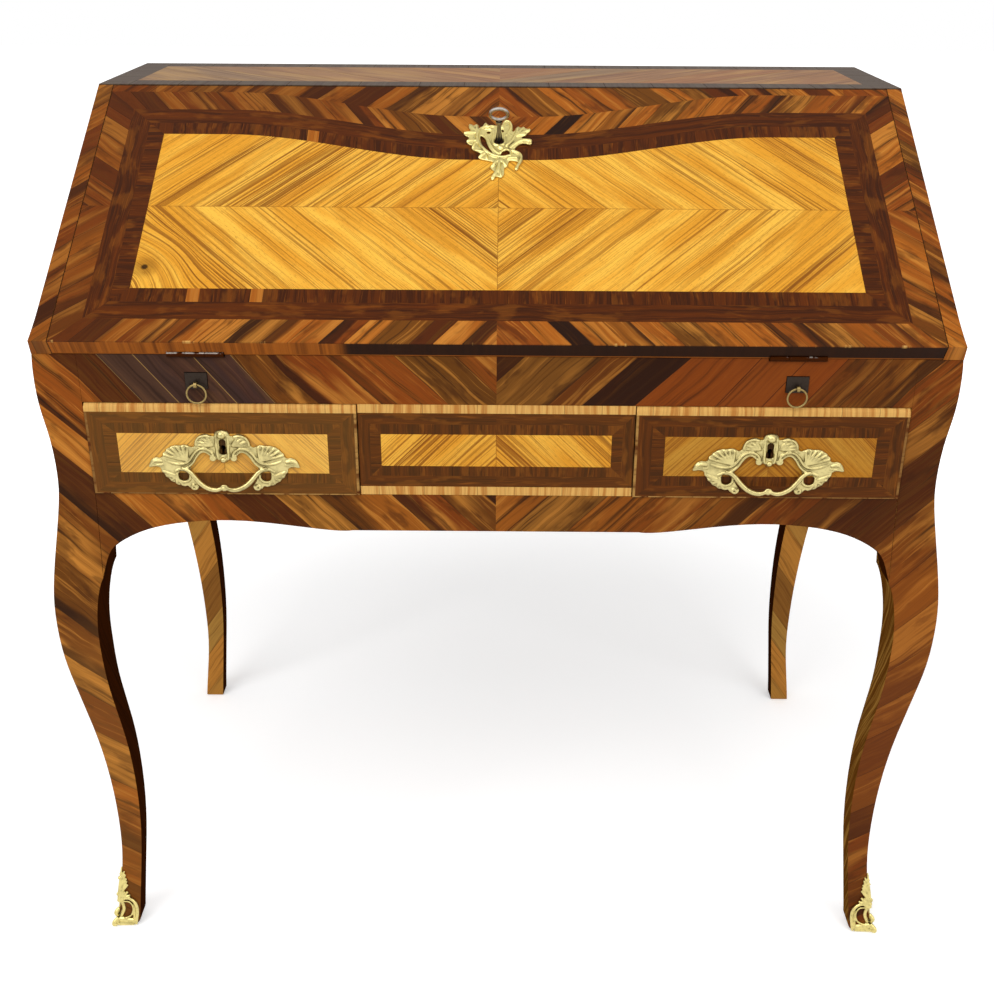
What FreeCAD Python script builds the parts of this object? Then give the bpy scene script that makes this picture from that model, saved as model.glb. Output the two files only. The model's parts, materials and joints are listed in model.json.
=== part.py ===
import FreeCAD, Part
import math
import os

Vec = FreeCAD.Vector

# Slant-front desk with cabriole legs. X runs to the right, Y to the back and Z up.
# The origin is on the floor, under the middle of the case. All lengths are in millimetres.

# Case
width = 872.0
depth = 510.0
slant_foot_height = 720.0
slant_rise = 192.0
slant_run = 307.0
side_thick = 16.0
top_thick = 16.0
back_thick = 10.0
top_overhang = 6.0
floor_thick = 12.0
floor_drop = 0.6
rail_thick = 18.0
face_setback = 1.0

# Fall
fall_thick = 18.0
fall_side_gap = 0.8
top_lip = 1.5
fall_top_gap = 1.0
leather_thick = 1.5
leather_start = 38.0
leather_side_margin = 64.0
leather_lock_gap = 12.0

# Front layout
rail_height = 48.7
apron_drop = 89.4
centre_width = 268.4
drawer_front_height = 95.2
drawer_front_thick = 20.0
drawer_proud = 2.0
drawer_height_gap = 0.4
drawer_side_gap = 0.6
centre_gap = 0.8
post_width = 38.0
post_depth = 45.0

# Legs
knee_bulge = 16.0
knee_size = 46.0
back_flare_share = 0.4
# Height up the post, and how far the outer arris stands out there
arris_shares = (
    (0.0, 0.36), (0.057, 0.04), (0.128, -0.34), (0.199, -0.47), (0.284, -0.38), (0.376, -0.03),
    (0.468, 0.53), (0.532, 0.89), (0.585, 1.0), (0.639, 0.92), (0.710, 0.49), (0.773, 0.03),
    (0.823, -0.16), (0.880, -0.03), (0.922, 0.25), (0.965, 0.34), (1.0, 0.24), (1.022, 0.09), (1.057, 0.0),
)
bow_count = 11
bow_end_share = 0.80
# Height up the post, and the leg's thickness there
section_shares = (
    (0.0, 0.54), (0.057, 0.51), (0.128, 0.49), (0.199, 0.54), (0.284, 0.61), (0.376, 0.685),
    (0.468, 0.76), (0.532, 0.86), (0.585, 0.915), (0.639, 1.0),
)
shoulder_share = 0.667
back_shoulder_share = 0.71
# Half of the front apron's lower edge: place across, and drop below the apron's top
apron_shares = (
    (1.0, 1.0), (0.990, 0.866), (0.972, 0.676), (0.937, 0.547), (0.872, 0.421),
    (0.754, 0.329), (0.603, 0.329), (0.430, 0.415), (0.360, 0.421),
)
# Half of a side apron's lower edge: place along, and height up the post
side_apron_shares = ((0.0, 0.683), (0.06, 0.714), (0.16, 0.735), (0.32, 0.748), (0.5, 0.744))

# Sabots
sabot_height = 77.0
sabot_thick = 2.6
sabot_gap = 0.2
sabot_lift = 0.4
sabot_half_width = 15.0
toe_radius = 5.0
toe_length = 11.0
# Half of the sabot's leaf: place across, and height up it
sabot_shares = (
    (0.95, 0.0), (1.0, 0.16), (0.86, 0.36), (0.46, 0.48), (0.66, 0.58), (0.40, 0.68), (0.46, 0.78),
    (0.22, 0.88), (0.0, 1.0),
)

# Drawers
drawer_back_gap = 75.0
drawer_box_drop = 11.4
drawer_box_inset = 2.0
drawer_wall = 9.0
drawer_bottom_thick = 5.0
drawer_bottom_lift = 3.0
drawer_back_drop = 6.0
drawer_seat = 3.8
runner_width = 20.0
runner_thick = 10.0
runner_gap = 0.3
drawer_lock_width = 48.0
drawer_lock_height = 44.0
drawer_lock_thick = 9.0
keyhole_radius = 2.6
keyhole_slot = 2.8
keyhole_drop = 8.0

# Drawer pulls
pull_width = 142.0
pull_height = 63.0
pull_rise = 35.5
pull_thick = 4.0
bail_radius = 3.2
bail_stand = 12.0
bail_half_share = 0.46
bail_root_share = -0.20
bail_low_share = -0.90
pull_keyhole_share = 0.46
# Right half of the pull's plate, outer edge and then inner edge, as shares of half its width and height
pull_outer_shares = (
    (0.0, 1.0), (0.14, 0.90), (0.31, 0.92), (0.40, 0.62), (0.60, 0.56), (0.80, 0.42), (0.85, 0.10),
    (1.0, -0.10), (0.86, -0.24), (0.78, -0.54), (0.60, -0.80), (0.44, -0.84),
)
pull_inner_shares = ((0.44, -0.84), (0.47, -0.22), (0.36, 0.14), (0.22, 0.26), (0.10, 0.06), (0.0, 0.0))

# Lopers
loper_inset = 112.0
loper_width = 21.0
loper_height = 16.0
loper_length = 330.0
loper_gap = 0.4
loper_rest_gap = 0.5
loper_proud = 1.0
sleeve_wall = 7.0
sleeve_length = 190.0
eye_radius = 3.0
eye_width = 3.0
eye_hole_radius = 1.5
eye_stand = 4.0
eye_drop = 10.7
ring_radius = 9.2
ring_wire_radius = 1.0

# Hinges
hinge_inset = 114.0
hinge_length = 54.0
knuckle_radius = 3.0
knuckle_gap = 0.3
pin_radius = 1.5
pin_play = 0.05
pocket_gap = 0.4
leaf_thick = 1.6
leaf_length = 30.0

# Fall lock
key_backset = 82.6
lock_tail = 15.0
lock_width = 64.0
lock_depth = 12.0
lock_wall = 1.5
bolt_width = 24.0
bolt_thick = 4.0
bolt_clear = 11.0
bolt_gap = 0.3
bolt_back = 0.5
strike_width = 40.0
strike_height = 10.0
strike_thick = 2.0
mortise_depth = 12.0
mortise_gap = 0.8
key_radius = 2.2
key_gap = 0.4
key_reach = 14.0
bit_length = 8.0
bit_width = 2.4
bit_height = 5.0
bow_lift = 32.5
bow_width = 21.6
bow_height = 24.6
bow_wire_radius = 1.7
collar_radius = 3.4
collar_height = 2.0

# Fall escutcheon
escutcheon_width = 70.0
escutcheon_height = 88.0
escutcheon_thick = 3.0
escutcheon_drop = 17.0
# Its outline, as shares of half its width and height about its middle
escutcheon_shares = (
    (0.10, 0.92), (0.42, 0.80), (0.40, 0.42), (0.62, 0.62), (1.0, 0.60), (0.72, 0.30), (0.98, 0.14),
    (0.56, 0.04), (0.66, -0.24), (0.52, -0.62), (0.28, -0.52), (0.10, -0.98), (-0.14, -0.98), (-0.16, -0.58),
    (-0.54, -0.40), (-0.80, -0.06), (-1.0, 0.42), (-0.74, 0.74), (-0.36, 0.70), (-0.10, 0.72),
)

# Well under the writing floor
partition_inset = 1.2
partition_thick = 10.0
cover_back_gap = 5.5
well_bottom_thick = 6.0
well_bottom_lift = 0.6
well_back_thick = 8.0
cover_lap = 8.0
cover_thick = 6.0
cover_gap = 0.4
cover_front_margin = 27.0
slot_lap = 3.0
finger_hole_radius = 9.0
finger_hole_margin = 30.0
dust_board_thick = 6.0
dust_board_gap = 0.6

# Pigeonholes and small drawers
gradin_setback = 11.0
gradin_base_thick = 6.0
gradin_gap = 0.4
shelf_height = 54.0
shelf_thick = 7.0
upright_x = 206.0
upright_thick = 7.0
divider_thick = 6.0
pigeonhole_count = 5
small_gap = 0.5
small_front_thick = 9.0
small_wall = 6.0
small_bottom_thick = 4.0
small_tray_height = 38.0
small_back_gap = 17.0
small_seat = 0.4
knob_radius = 6.0
knob_neck_radius = 2.6
knob_neck_length = 2.0

# Length that cutting shapes run past what they cut
overrun = 30.0

# Derived places
half_width = width / 2
front_y = -depth / 2
back_y = depth / 2
back_face_y = back_y - top_overhang
inner_x = half_width - side_thick
height = slant_foot_height + slant_rise
slant_length = math.hypot(slant_run, slant_rise)
slant_angle = math.atan2(slant_rise, slant_run)
pin_y = front_y + fall_thick * math.sin(slant_angle)
pin_z = slant_foot_height - fall_thick * math.cos(slant_angle)
face_y = pin_y + face_setback
rail_back_y = face_y + rail_thick
floor_top = pin_z - floor_drop
floor_bottom = floor_top - floor_thick
post_top = floor_top
post_inner = half_width - post_width
rail_bottom = floor_top - rail_height
apron_top = rail_bottom - drawer_front_height - 2 * drawer_height_gap
centre_half = centre_width / 2
drawer_outer = post_inner - drawer_side_gap
drawer_inner = centre_half + centre_gap
drawer_middle = (drawer_outer + drawer_inner) / 2
top_under = height - top_thick
fall_end = slant_length - top_lip - fall_top_gap
back_inner_y = back_face_y - back_thick
gradin_front = front_y + slant_run + gradin_setback
keyhole_along = fall_end - key_backset
lock_start = keyhole_along - lock_tail
loper_x = post_inner - loper_inset
hinge_x = post_inner - hinge_inset
well_outer = centre_half - partition_inset
well_half_width = well_outer - partition_thick
well_end = gradin_front - cover_back_gap
slot_half_width = well_half_width + slot_lap

fall_frame = FreeCAD.Placement(
    Vec(0, front_y, slant_foot_height), FreeCAD.Rotation(Vec(1, 0, 0), math.degrees(slant_angle))
)


def box(x0, x1, y0, y1, z0, z1):
    """Box between two corners."""
    return Part.makeBox(x1 - x0, y1 - y0, z1 - z0, Vec(x0, y0, z0))


def unmoved(shape):
    """The shape where it is."""
    return shape


def mirrored(shape):
    """The same shape on the other side of the middle of the desk."""
    return shape.mirror(Vec(0, 0, 0), Vec(1, 0, 0))


def on_fall(shape):
    """Moves a shape drawn as across, along the slant and out of it onto the fall."""
    placed = shape.copy()
    placed.Placement = fall_frame.multiply(placed.Placement)
    return placed


def on_front(shape, x, y, z):
    """Moves a shape drawn as across, up and out onto an upright face that looks to the front."""
    placed = shape.copy()
    frame = FreeCAD.Placement(Vec(x, y, z), FreeCAD.Rotation(Vec(1, 0, 0), 90))
    placed.Placement = frame.multiply(placed.Placement)
    return placed


def lines(points):
    """Straight edges through the points."""
    return [Part.LineSegment(a, b).toShape() for a, b in zip(points, points[1:])]


def steps(points):
    """Curve parameters that keep a smooth edge close to its points."""
    values = [0.0]
    for a, b in zip(points, points[1:]):
        values.append(values[-1] + math.sqrt((b - a).Length))
    return values


def curve(points):
    """One smooth edge through the points."""
    spline = Part.BSplineCurve()
    spline.interpolate(Points=points, Parameters=steps(points))
    return spline.toShape()


def loop(points):
    """One smooth closed edge through the points."""
    spline = Part.BSplineCurve()
    spline.interpolate(Points=points, Parameters=steps(points + points[:1]), PeriodicFlag=True)
    return spline.toShape()


def prism(edges, way):
    """Solid of the outline made by the edges, drawn out along the vector."""
    return Part.Face(Part.Wire(Part.sortEdges(edges)[0])).extrude(way)


def polygon_prism(points, way):
    """Solid of the closed polygon through the points, drawn out along the vector."""
    return prism(lines(points + points[:1]), way)


def across(points, x0, x1):
    """Prism across the desk from an outline given as (y, z) pairs."""
    return polygon_prism([Vec(x0, y, z) for y, z in points], Vec(x1 - x0, 0, 0))


def save(node, shape):
    """Writes one node."""
    shape.exportStep("parts/" + node + ".step")


def save_pair(node, right):
    """Writes a right-hand piece and its mirror image on the left."""
    save(node + "_right", right)
    save(node + "_left", mirrored(right))


def group(shapes):
    """Several separate solids in one node."""
    return Part.makeCompound(shapes)


def bulge_at(share):
    """Outward place of the arris at a height share, between the stations of the table."""
    for (low, low_value), (high, high_value) in zip(arris_shares, arris_shares[1:]):
        if low <= share <= high:
            return low_value + (high_value - low_value) * (share - low) / (high - low)
    return arris_shares[-1][1]


def side_form(grow=0):
    """Everything inside the curved outer line of the right side, as seen from the front."""
    y = front_y - overrun
    points = [Vec(half_width + grow + b * knee_bulge, y, s * post_top) for s, b in arris_shares]
    outer = curve(points)
    corner = [points[-1], Vec(half_width + grow, y, height), Vec(0, y, height), Vec(0, y, 0), points[0]]
    return prism([outer] + lines(corner), Vec(0, depth + 2 * overrun, 0))


def bow_form(face, outward, flare, grow=0):
    """Everything behind the bowed face of the legs, as seen from the side."""
    points = [
        Vec(0, face + outward * (grow + flare * b * knee_bulge), s * post_top)
        for s, b in arris_shares[:bow_count]
    ]
    end = Vec(0, face + outward * grow, bow_end_share * post_top)
    bowed = curve(points + [end])
    corner = [
        end,
        Vec(0, face + outward * grow, height),
        Vec(0, 0, height),
        Vec(0, 0, 0),
        points[0],
    ]
    return prism([bowed] + lines(corner), Vec(half_width + knee_bulge + overrun, 0, 0))


def leg_hollow_across():
    """Space between the legs, seen from the front, on the right."""
    y = front_y - overrun
    points = [
        Vec(half_width + bulge_at(s) * knee_bulge - t * knee_size, y, s * post_top)
        for s, t in section_shares
    ]
    shoulder = Vec(post_inner, y, shoulder_share * post_top)
    inner = curve(points + [shoulder])
    corner = [shoulder, Vec(post_inner, y, height), Vec(0, y, height), Vec(0, y, 0), points[0]]
    return prism([inner] + lines(corner), Vec(0, depth + 2 * overrun, 0))


def leg_hollow_along(face, outward, flare):
    """Space between the legs, seen from the side, up to the middle of the depth."""
    points = [
        Vec(0, face + outward * (flare * bulge_at(s) * knee_bulge - t * knee_size), s * post_top)
        for s, t in section_shares
    ]
    shoulder = Vec(0, face - outward * post_depth, back_shoulder_share * post_top)
    inner = curve(points + [shoulder])
    corner = [
        shoulder,
        Vec(0, face - outward * post_depth, height),
        Vec(0, 0, height),
        Vec(0, 0, 0),
        points[0],
    ]
    return prism([inner] + lines(corner), Vec(half_width + knee_bulge + overrun, 0, 0))


def leg_block(face, outward, flare, grow=0):
    """Solid inside the two outer faces of a right leg."""
    ends = sorted((0, face + outward * (knee_bulge + overrun)))
    block = box(0, half_width + knee_bulge + overrun, ends[0], ends[1], 0, post_top)
    return block.common(side_form(grow)).common(bow_form(face, outward, flare, grow))


def leg(face, outward, flare):
    """Right leg with its post: square in section, with two curved outer faces."""
    solid = leg_block(face, outward, flare)
    return solid.cut(leg_hollow_across()).cut(leg_hollow_along(face, outward, flare))


def sabot():
    """Leafy gilt shoe round the outer corner of the right front foot, with a scrolled toe."""
    shell = leg_block(face_y, -1, 1, sabot_thick).cut(leg_block(face_y, -1, 1, sabot_gap))
    diagonal = Vec(1, -1, 0).normalize()
    sideways = Vec(1, 1, 0).normalize()
    corner = Vec(half_width, face_y, sabot_lift)
    start = corner - diagonal * (knee_size + overrun)
    half = [
        start + sideways * (a * sabot_half_width) + Vec(0, 0, h * (sabot_height - sabot_lift))
        for a, h in sabot_shares
    ]
    other = [
        start - sideways * (a * sabot_half_width) + Vec(0, 0, h * (sabot_height - sabot_lift))
        for a, h in sabot_shares
    ]
    edges = [curve(half), curve(other)] + lines([other[0], half[0]])
    leaf = prism(edges, diagonal * (2 * (knee_size + overrun)))
    foot = Vec(half_width, face_y, 0) + diagonal * (math.sqrt(2) * (arris_shares[0][1] * knee_bulge))
    middle = foot + Vec(0, 0, sabot_lift + toe_radius) - sideways * (toe_length / 2)
    toe = Part.makeCylinder(toe_radius, toe_length, middle, sideways)
    toe = toe.cut(leg_block(face_y, -1, 1, sabot_gap))
    return shell.common(leaf).fuse(toe).removeSplitter()


def keyhole(radius, thick, start):
    """Keyhole with a round top and a slot, drawn about its own middle and cut along the third axis."""
    round_top = Part.makeCylinder(radius, thick, Vec(0, 0, start))
    slot = box(-keyhole_slot / 2, keyhole_slot / 2, -keyhole_drop, 0, start, start + thick)
    return round_top.fuse(slot)


def moved(shape, x, y, z):
    """Copy of the shape, shifted."""
    placed = shape.copy()
    placed.translate(Vec(x, y, z))
    return placed


def make_legs():
    save_pair("front_leg", leg(face_y, -1, 1))
    save_pair("back_leg", leg(back_face_y, 1, back_flare_share))
    save_pair("sabot", sabot())


def slant_point(along, lift):
    """(y, z) of a point on the slant."""
    y = front_y + along * math.cos(slant_angle) - lift * math.sin(slant_angle)
    z = slant_foot_height + along * math.sin(slant_angle) + lift * math.cos(slant_angle)
    return y, z


def top_edge():
    """Front edge of the top board: its upper point on the slant and its lower point under the board."""
    upper = slant_point(slant_length - top_lip, 0)
    fall_back = (upper[1] - top_under) / math.cos(slant_angle)
    return upper, slant_point(slant_length - top_lip, -fall_back)


def make_case():
    upper, lower = top_edge()
    top = across(
        [upper, slant_point(slant_length, 0), (back_y, height), (back_y, top_under), lower],
        -half_width, half_width,
    )
    save("top_board", top.cut(on_fall(strike_recess())))

    side = across(
        [
            slant_point(0, 0), upper, lower, (back_face_y, top_under), (back_face_y, floor_top),
            (pin_y, floor_top), (pin_y, pin_z),
        ],
        inner_x, half_width + knee_bulge + overrun,
    )
    save_pair("side_panel", side.common(side_form()))

    y0 = face_y + post_depth
    y1 = back_face_y - post_depth
    half = [Vec(inner_x, y0 + s * (y1 - y0), h * post_top) for s, h in side_apron_shares]
    rest = [Vec(inner_x, y1 - s * (y1 - y0), h * post_top) for s, h in side_apron_shares[-2::-1]]
    lower_edge = curve(half + rest)
    ends = [rest[-1], Vec(inner_x, y1, post_top), Vec(inner_x, y0, post_top), half[0]]
    side_apron = prism([lower_edge] + lines(ends), Vec(side_thick + knee_bulge + overrun, 0, 0))
    save_pair("side_apron", side_apron.common(side_form()))

    save("back_panel_upper", box(-inner_x, inner_x, back_inner_y, back_face_y, floor_top, top_under))
    low = apron_top - rail_thick
    save("back_panel_lower", box(-post_inner, post_inner, back_inner_y, back_face_y, low, floor_bottom))


def loper_bottom():
    """Underside of the lopers, whose upper faces lie just under the open fall."""
    return pin_z - fall_thick - loper_rest_gap - loper_height


def loper_hole(grow):
    """Space round the right loper, through the front of the case."""
    z = loper_bottom()
    return box(
        loper_x - loper_width / 2 - grow, loper_x + loper_width / 2 + grow,
        face_y - overrun, face_y + loper_length + overrun, z - grow, z + loper_height + grow,
    )


def hinge_pockets(grow):
    """Round grooves about the hinge line, one for each hinge."""
    start = Vec(hinge_x - hinge_length / 2 - grow, pin_y, pin_z)
    right = Part.makeCylinder(knuckle_radius + grow, hinge_length + 2 * grow, start, Vec(1, 0, 0))
    return [right, mirrored(right)]


def case_leaf():
    """Right hinge leaf's plate on the case, let into the rail and the floor."""
    x0 = hinge_x - hinge_length / 2
    return box(x0, x0 + hinge_length, pin_y, pin_y + leaf_length, floor_top - leaf_thick, floor_top)


def make_front():
    rail = box(-post_inner, post_inner, face_y, rail_back_y, rail_bottom, floor_top)
    for cutter in [loper_hole(loper_gap), case_leaf()]:
        rail = rail.cut(cutter).cut(mirrored(cutter))
    for cutter in hinge_pockets(pocket_gap):
        rail = rail.cut(cutter)
    save("front_rail", rail)

    y = face_y - knee_bulge - overrun
    right = [Vec(s * post_inner, y, apron_top - d * apron_drop) for s, d in apron_shares]
    left = [Vec(-s * post_inner, y, apron_top - d * apron_drop) for s, d in apron_shares]
    edges = [curve(right), curve(left)]
    edges += lines([right[-1], left[-1]])
    edges += lines([left[0], Vec(-post_inner, y, apron_top), Vec(post_inner, y, apron_top), right[0]])
    board = prism(edges, Vec(0, rail_back_y - y, 0))
    bowed = bow_form(face_y, -1, 1)
    save("front_apron", board.common(bowed.fuse(mirrored(bowed)).removeSplitter()))

    save("centre_front", box(-centre_half, centre_half, face_y, rail_back_y, apron_top, rail_bottom))


def make_floor():
    floor = box(-inner_x, inner_x, rail_back_y, back_face_y, floor_bottom, floor_top)
    low = floor_bottom - overrun
    high = floor_top + overrun
    posts = [
        box(post_inner, half_width, rail_back_y - overrun, face_y + post_depth, low, high),
        box(post_inner, half_width, back_face_y - post_depth, back_face_y + overrun, low, high),
    ]
    for cutter in posts + [case_leaf()]:
        floor = floor.cut(cutter).cut(mirrored(cutter))
    slot_front = rail_back_y + cover_front_margin
    floor = floor.cut(box(-slot_half_width, slot_half_width, slot_front, back_inner_y, low, high))
    ledge = floor_top - cover_thick - cover_gap
    lap = slot_half_width + cover_lap
    floor = floor.cut(box(-lap, lap, slot_front - cover_lap, back_inner_y, ledge, high))
    save("writing_floor", floor)

    cover_front = slot_front - cover_lap + cover_gap
    half = lap - cover_gap
    cover = box(-half, half, cover_front, well_end, ledge + cover_gap, floor_top)
    hole = Part.makeCylinder(
        finger_hole_radius, cover_thick + 2 * overrun, Vec(0, cover_front + finger_hole_margin, low)
    )
    save("well_cover", cover.cut(hole))

    save_pair("partition", box(
        well_half_width, well_outer, rail_back_y, back_inner_y, apron_top - runner_thick, floor_bottom
    ))
    bottom = apron_top + well_bottom_lift
    well_back = well_end - well_back_thick
    save("well_boards", group([
        box(-well_half_width, well_half_width, rail_back_y, well_back, bottom, bottom + well_bottom_thick),
        box(-well_half_width, well_half_width, well_back, well_end, bottom, floor_bottom),
    ]))

    dust_low = rail_bottom + dust_board_gap
    dust_high = dust_low + dust_board_thick
    dust = box(well_outer, post_inner, rail_back_y, back_inner_y, dust_low, dust_high)
    save("dust_boards", group([dust, mirrored(dust)]))

    runner_top = apron_top + drawer_height_gap + drawer_seat - runner_gap
    runners = []
    for x0 in (well_outer, post_inner - runner_width):
        runner = box(x0, x0 + runner_width, rail_back_y, back_inner_y, runner_top - runner_thick, runner_top)
        runners += [runner, mirrored(runner)]
    save("drawer_runners", group(runners))


def make_lopers():
    z = loper_bottom()
    front = face_y - loper_proud
    x0 = loper_x - loper_width / 2
    save_pair("loper", box(x0, x0 + loper_width, front, front + loper_length, z, z + loper_height))

    dust_high = rail_bottom + dust_board_gap + dust_board_thick
    sleeve = box(
        x0 - sleeve_wall, x0 + loper_width + sleeve_wall, rail_back_y, rail_back_y + sleeve_length,
        dust_high, floor_bottom,
    ).cut(loper_hole(loper_gap))
    save("loper_sleeves", group([sleeve, mirrored(sleeve)]))

    eye_y = front - eye_stand
    eye_z = z + loper_height - eye_drop
    eye_start = Vec(loper_x - eye_width / 2, eye_y, eye_z)
    disc = Part.makeCylinder(eye_radius, eye_width, eye_start, Vec(1, 0, 0))
    neck_length = eye_stand - (eye_radius + eye_hole_radius) / 2
    neck = Part.makeCylinder(eye_width / 2, neck_length, Vec(loper_x, front, eye_z), Vec(0, -1, 0))
    hole_start = eye_start - Vec(overrun, 0, 0)
    hole = Part.makeCylinder(eye_hole_radius, eye_width + 2 * overrun, hole_start, Vec(1, 0, 0))
    save_pair("loper_eye", neck.fuse(disc).cut(hole).removeSplitter())

    middle = Vec(loper_x, eye_y, eye_z - ring_radius)
    save_pair("loper_ring", Part.makeTorus(ring_radius, ring_wire_radius, middle, Vec(0, 1, 0)))


def pull_casting():
    """Gilt pull in one casting: a scrolled plate with a keyhole, and a bail standing off it."""
    half_w = pull_width / 2
    half_h = pull_height / 2
    outer = [Vec(s * half_w, h * half_h, 0) for s, h in pull_outer_shares]
    inner = [Vec(s * half_w, h * half_h, 0) for s, h in pull_inner_shares]
    flip = [[Vec(-p.x, p.y, p.z) for p in points] for points in (outer, inner)]
    edges = [curve(outer), curve(inner), curve(flip[0]), curve(flip[1])]
    plate = prism(edges, Vec(0, 0, pull_thick))
    hole = keyhole(keyhole_radius, pull_thick + 2 * overrun, -overrun)
    plate = plate.cut(moved(hole, 0, pull_keyhole_share * half_h, 0))
    reach = bail_half_share * half_w
    root = bail_root_share * half_h
    left_root = Vec(-reach, root, bail_radius)
    low = Vec(0, bail_low_share * half_h, bail_stand)
    right_root = Vec(reach, root, bail_radius)
    path = Part.Arc(left_root, low, right_root)
    section = Part.Circle(left_root, path.tangent(path.FirstParameter)[0], bail_radius)
    bail = Part.Wire([path.toShape()]).makePipeShell([Part.Wire([section.toShape()])], True, False)
    return plate.fuse(bail).removeSplitter()


def make_drawer(side, place):
    """One main drawer, placed on its side of the desk: front, sides, back, bottom, pull and lock."""
    low = apron_top + drawer_height_gap
    front_back = face_y - drawer_proud + drawer_front_thick
    front = box(drawer_inner, drawer_outer, face_y - drawer_proud, front_back, low, low + drawer_front_height)
    pull_z = low + pull_rise
    hole = keyhole(keyhole_radius, drawer_front_thick + 2 * overrun, -drawer_front_thick - overrun)
    key_z = pull_z + pull_keyhole_share * pull_height / 2
    front = front.cut(on_front(hole, drawer_middle, face_y, key_z))
    save("drawer_front_" + side, place(front))

    back_end = back_inner_y - drawer_back_gap
    z0 = low + drawer_seat
    z1 = low + drawer_front_height - drawer_box_drop
    x0 = drawer_inner + drawer_box_inset
    x1 = drawer_outer - drawer_box_inset
    walls = [
        box(x0, x0 + drawer_wall, front_back, back_end, z0, z1),
        box(x1 - drawer_wall, x1, front_back, back_end, z0, z1),
    ]
    floor_z = z0 + drawer_bottom_lift
    floor_high = floor_z + drawer_bottom_thick
    x2 = x0 + drawer_wall
    x3 = x1 - drawer_wall
    walls.append(box(x2, x3, back_end - drawer_wall, back_end, floor_high, z1 - drawer_back_drop))
    save("drawer_walls_" + side, group([place(wall) for wall in walls]))
    save("drawer_bottom_" + side, place(box(x2, x3, front_back, back_end, floor_z, floor_high)))

    save("drawer_pull_" + side, place(on_front(pull_casting(), drawer_middle, face_y - drawer_proud, pull_z)))

    lock = box(
        drawer_middle - drawer_lock_width / 2, drawer_middle + drawer_lock_width / 2,
        front_back, front_back + drawer_lock_thick, z1 - drawer_lock_height, z1,
    )
    save("drawer_lock_" + side, place(lock))


def make_hinges():
    """Leaves and pins of the two hinges at the foot of the fall."""
    x0 = hinge_x - hinge_length / 2
    third = hinge_length / 3
    bore = Part.makeCylinder(
        pin_radius + pin_play, hinge_length + 2 * overrun, Vec(x0 - overrun, pin_y, pin_z), Vec(1, 0, 0)
    )
    clear = knuckle_radius + pocket_gap

    def knuckle(start, length):
        return Part.makeCylinder(knuckle_radius, length, Vec(start, pin_y, pin_z), Vec(1, 0, 0))

    gap_left = x0 + third - knuckle_gap
    gap_right = x0 + 2 * third + knuckle_gap
    space = Part.makeCylinder(clear, gap_right - gap_left, Vec(gap_left, pin_y, pin_z), Vec(1, 0, 0))
    case = case_leaf().cut(space)
    case = case.fuse(knuckle(x0, third - knuckle_gap)).fuse(knuckle(gap_right, third - knuckle_gap))
    case = case.cut(bore).removeSplitter()
    save("case_hinge_leaves", group([case, mirrored(case)]))

    plate = fall_leaf()
    for start, length in ((x0 - overrun, third + overrun), (x0 + 2 * third, third + overrun)):
        plate = plate.cut(Part.makeCylinder(clear, length, Vec(start, pin_y, pin_z), Vec(1, 0, 0)))
    leaf = plate.fuse(knuckle(x0 + third, third)).cut(bore).removeSplitter()
    save("fall_hinge_leaves", group([leaf, mirrored(leaf)]))

    pin = Part.makeCylinder(pin_radius, hinge_length, Vec(x0, pin_y, pin_z), Vec(1, 0, 0))
    save("hinge_pins", group([pin, mirrored(pin)]))


def fall_leaf():
    """Right hinge leaf's plate on the fall, let into its inner face."""
    x0 = hinge_x - hinge_length / 2
    return on_fall(box(x0, x0 + hinge_length, 0, leaf_length, -fall_thick, leaf_thick - fall_thick))


def lock_block(grow):
    """Space of the fall's lock case, grown or shrunk on every side."""
    return box(
        -lock_width / 2 - grow, lock_width / 2 + grow, lock_start - grow, fall_end + grow,
        -fall_thick - grow, lock_depth - fall_thick + grow,
    )


def bolt_space(grow, start, end):
    """Space of the lock bolt between two places along the slant."""
    middle = lock_depth / 2 - fall_thick
    return box(
        -bolt_width / 2 - grow, bolt_width / 2 + grow, start, end,
        middle - bolt_thick / 2 - grow, middle + bolt_thick / 2 + grow,
    )


def strike_recess():
    """Room in the front edge of the top board for the strike plate and the bolt."""
    face = slant_length - top_lip
    middle = lock_depth / 2 - fall_thick
    plate = box(
        -strike_width / 2, strike_width / 2, face - overrun, face + strike_thick,
        middle - strike_height / 2, middle + strike_height / 2,
    )
    return plate.fuse(bolt_space(mortise_gap, face - overrun, face + mortise_depth))


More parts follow.
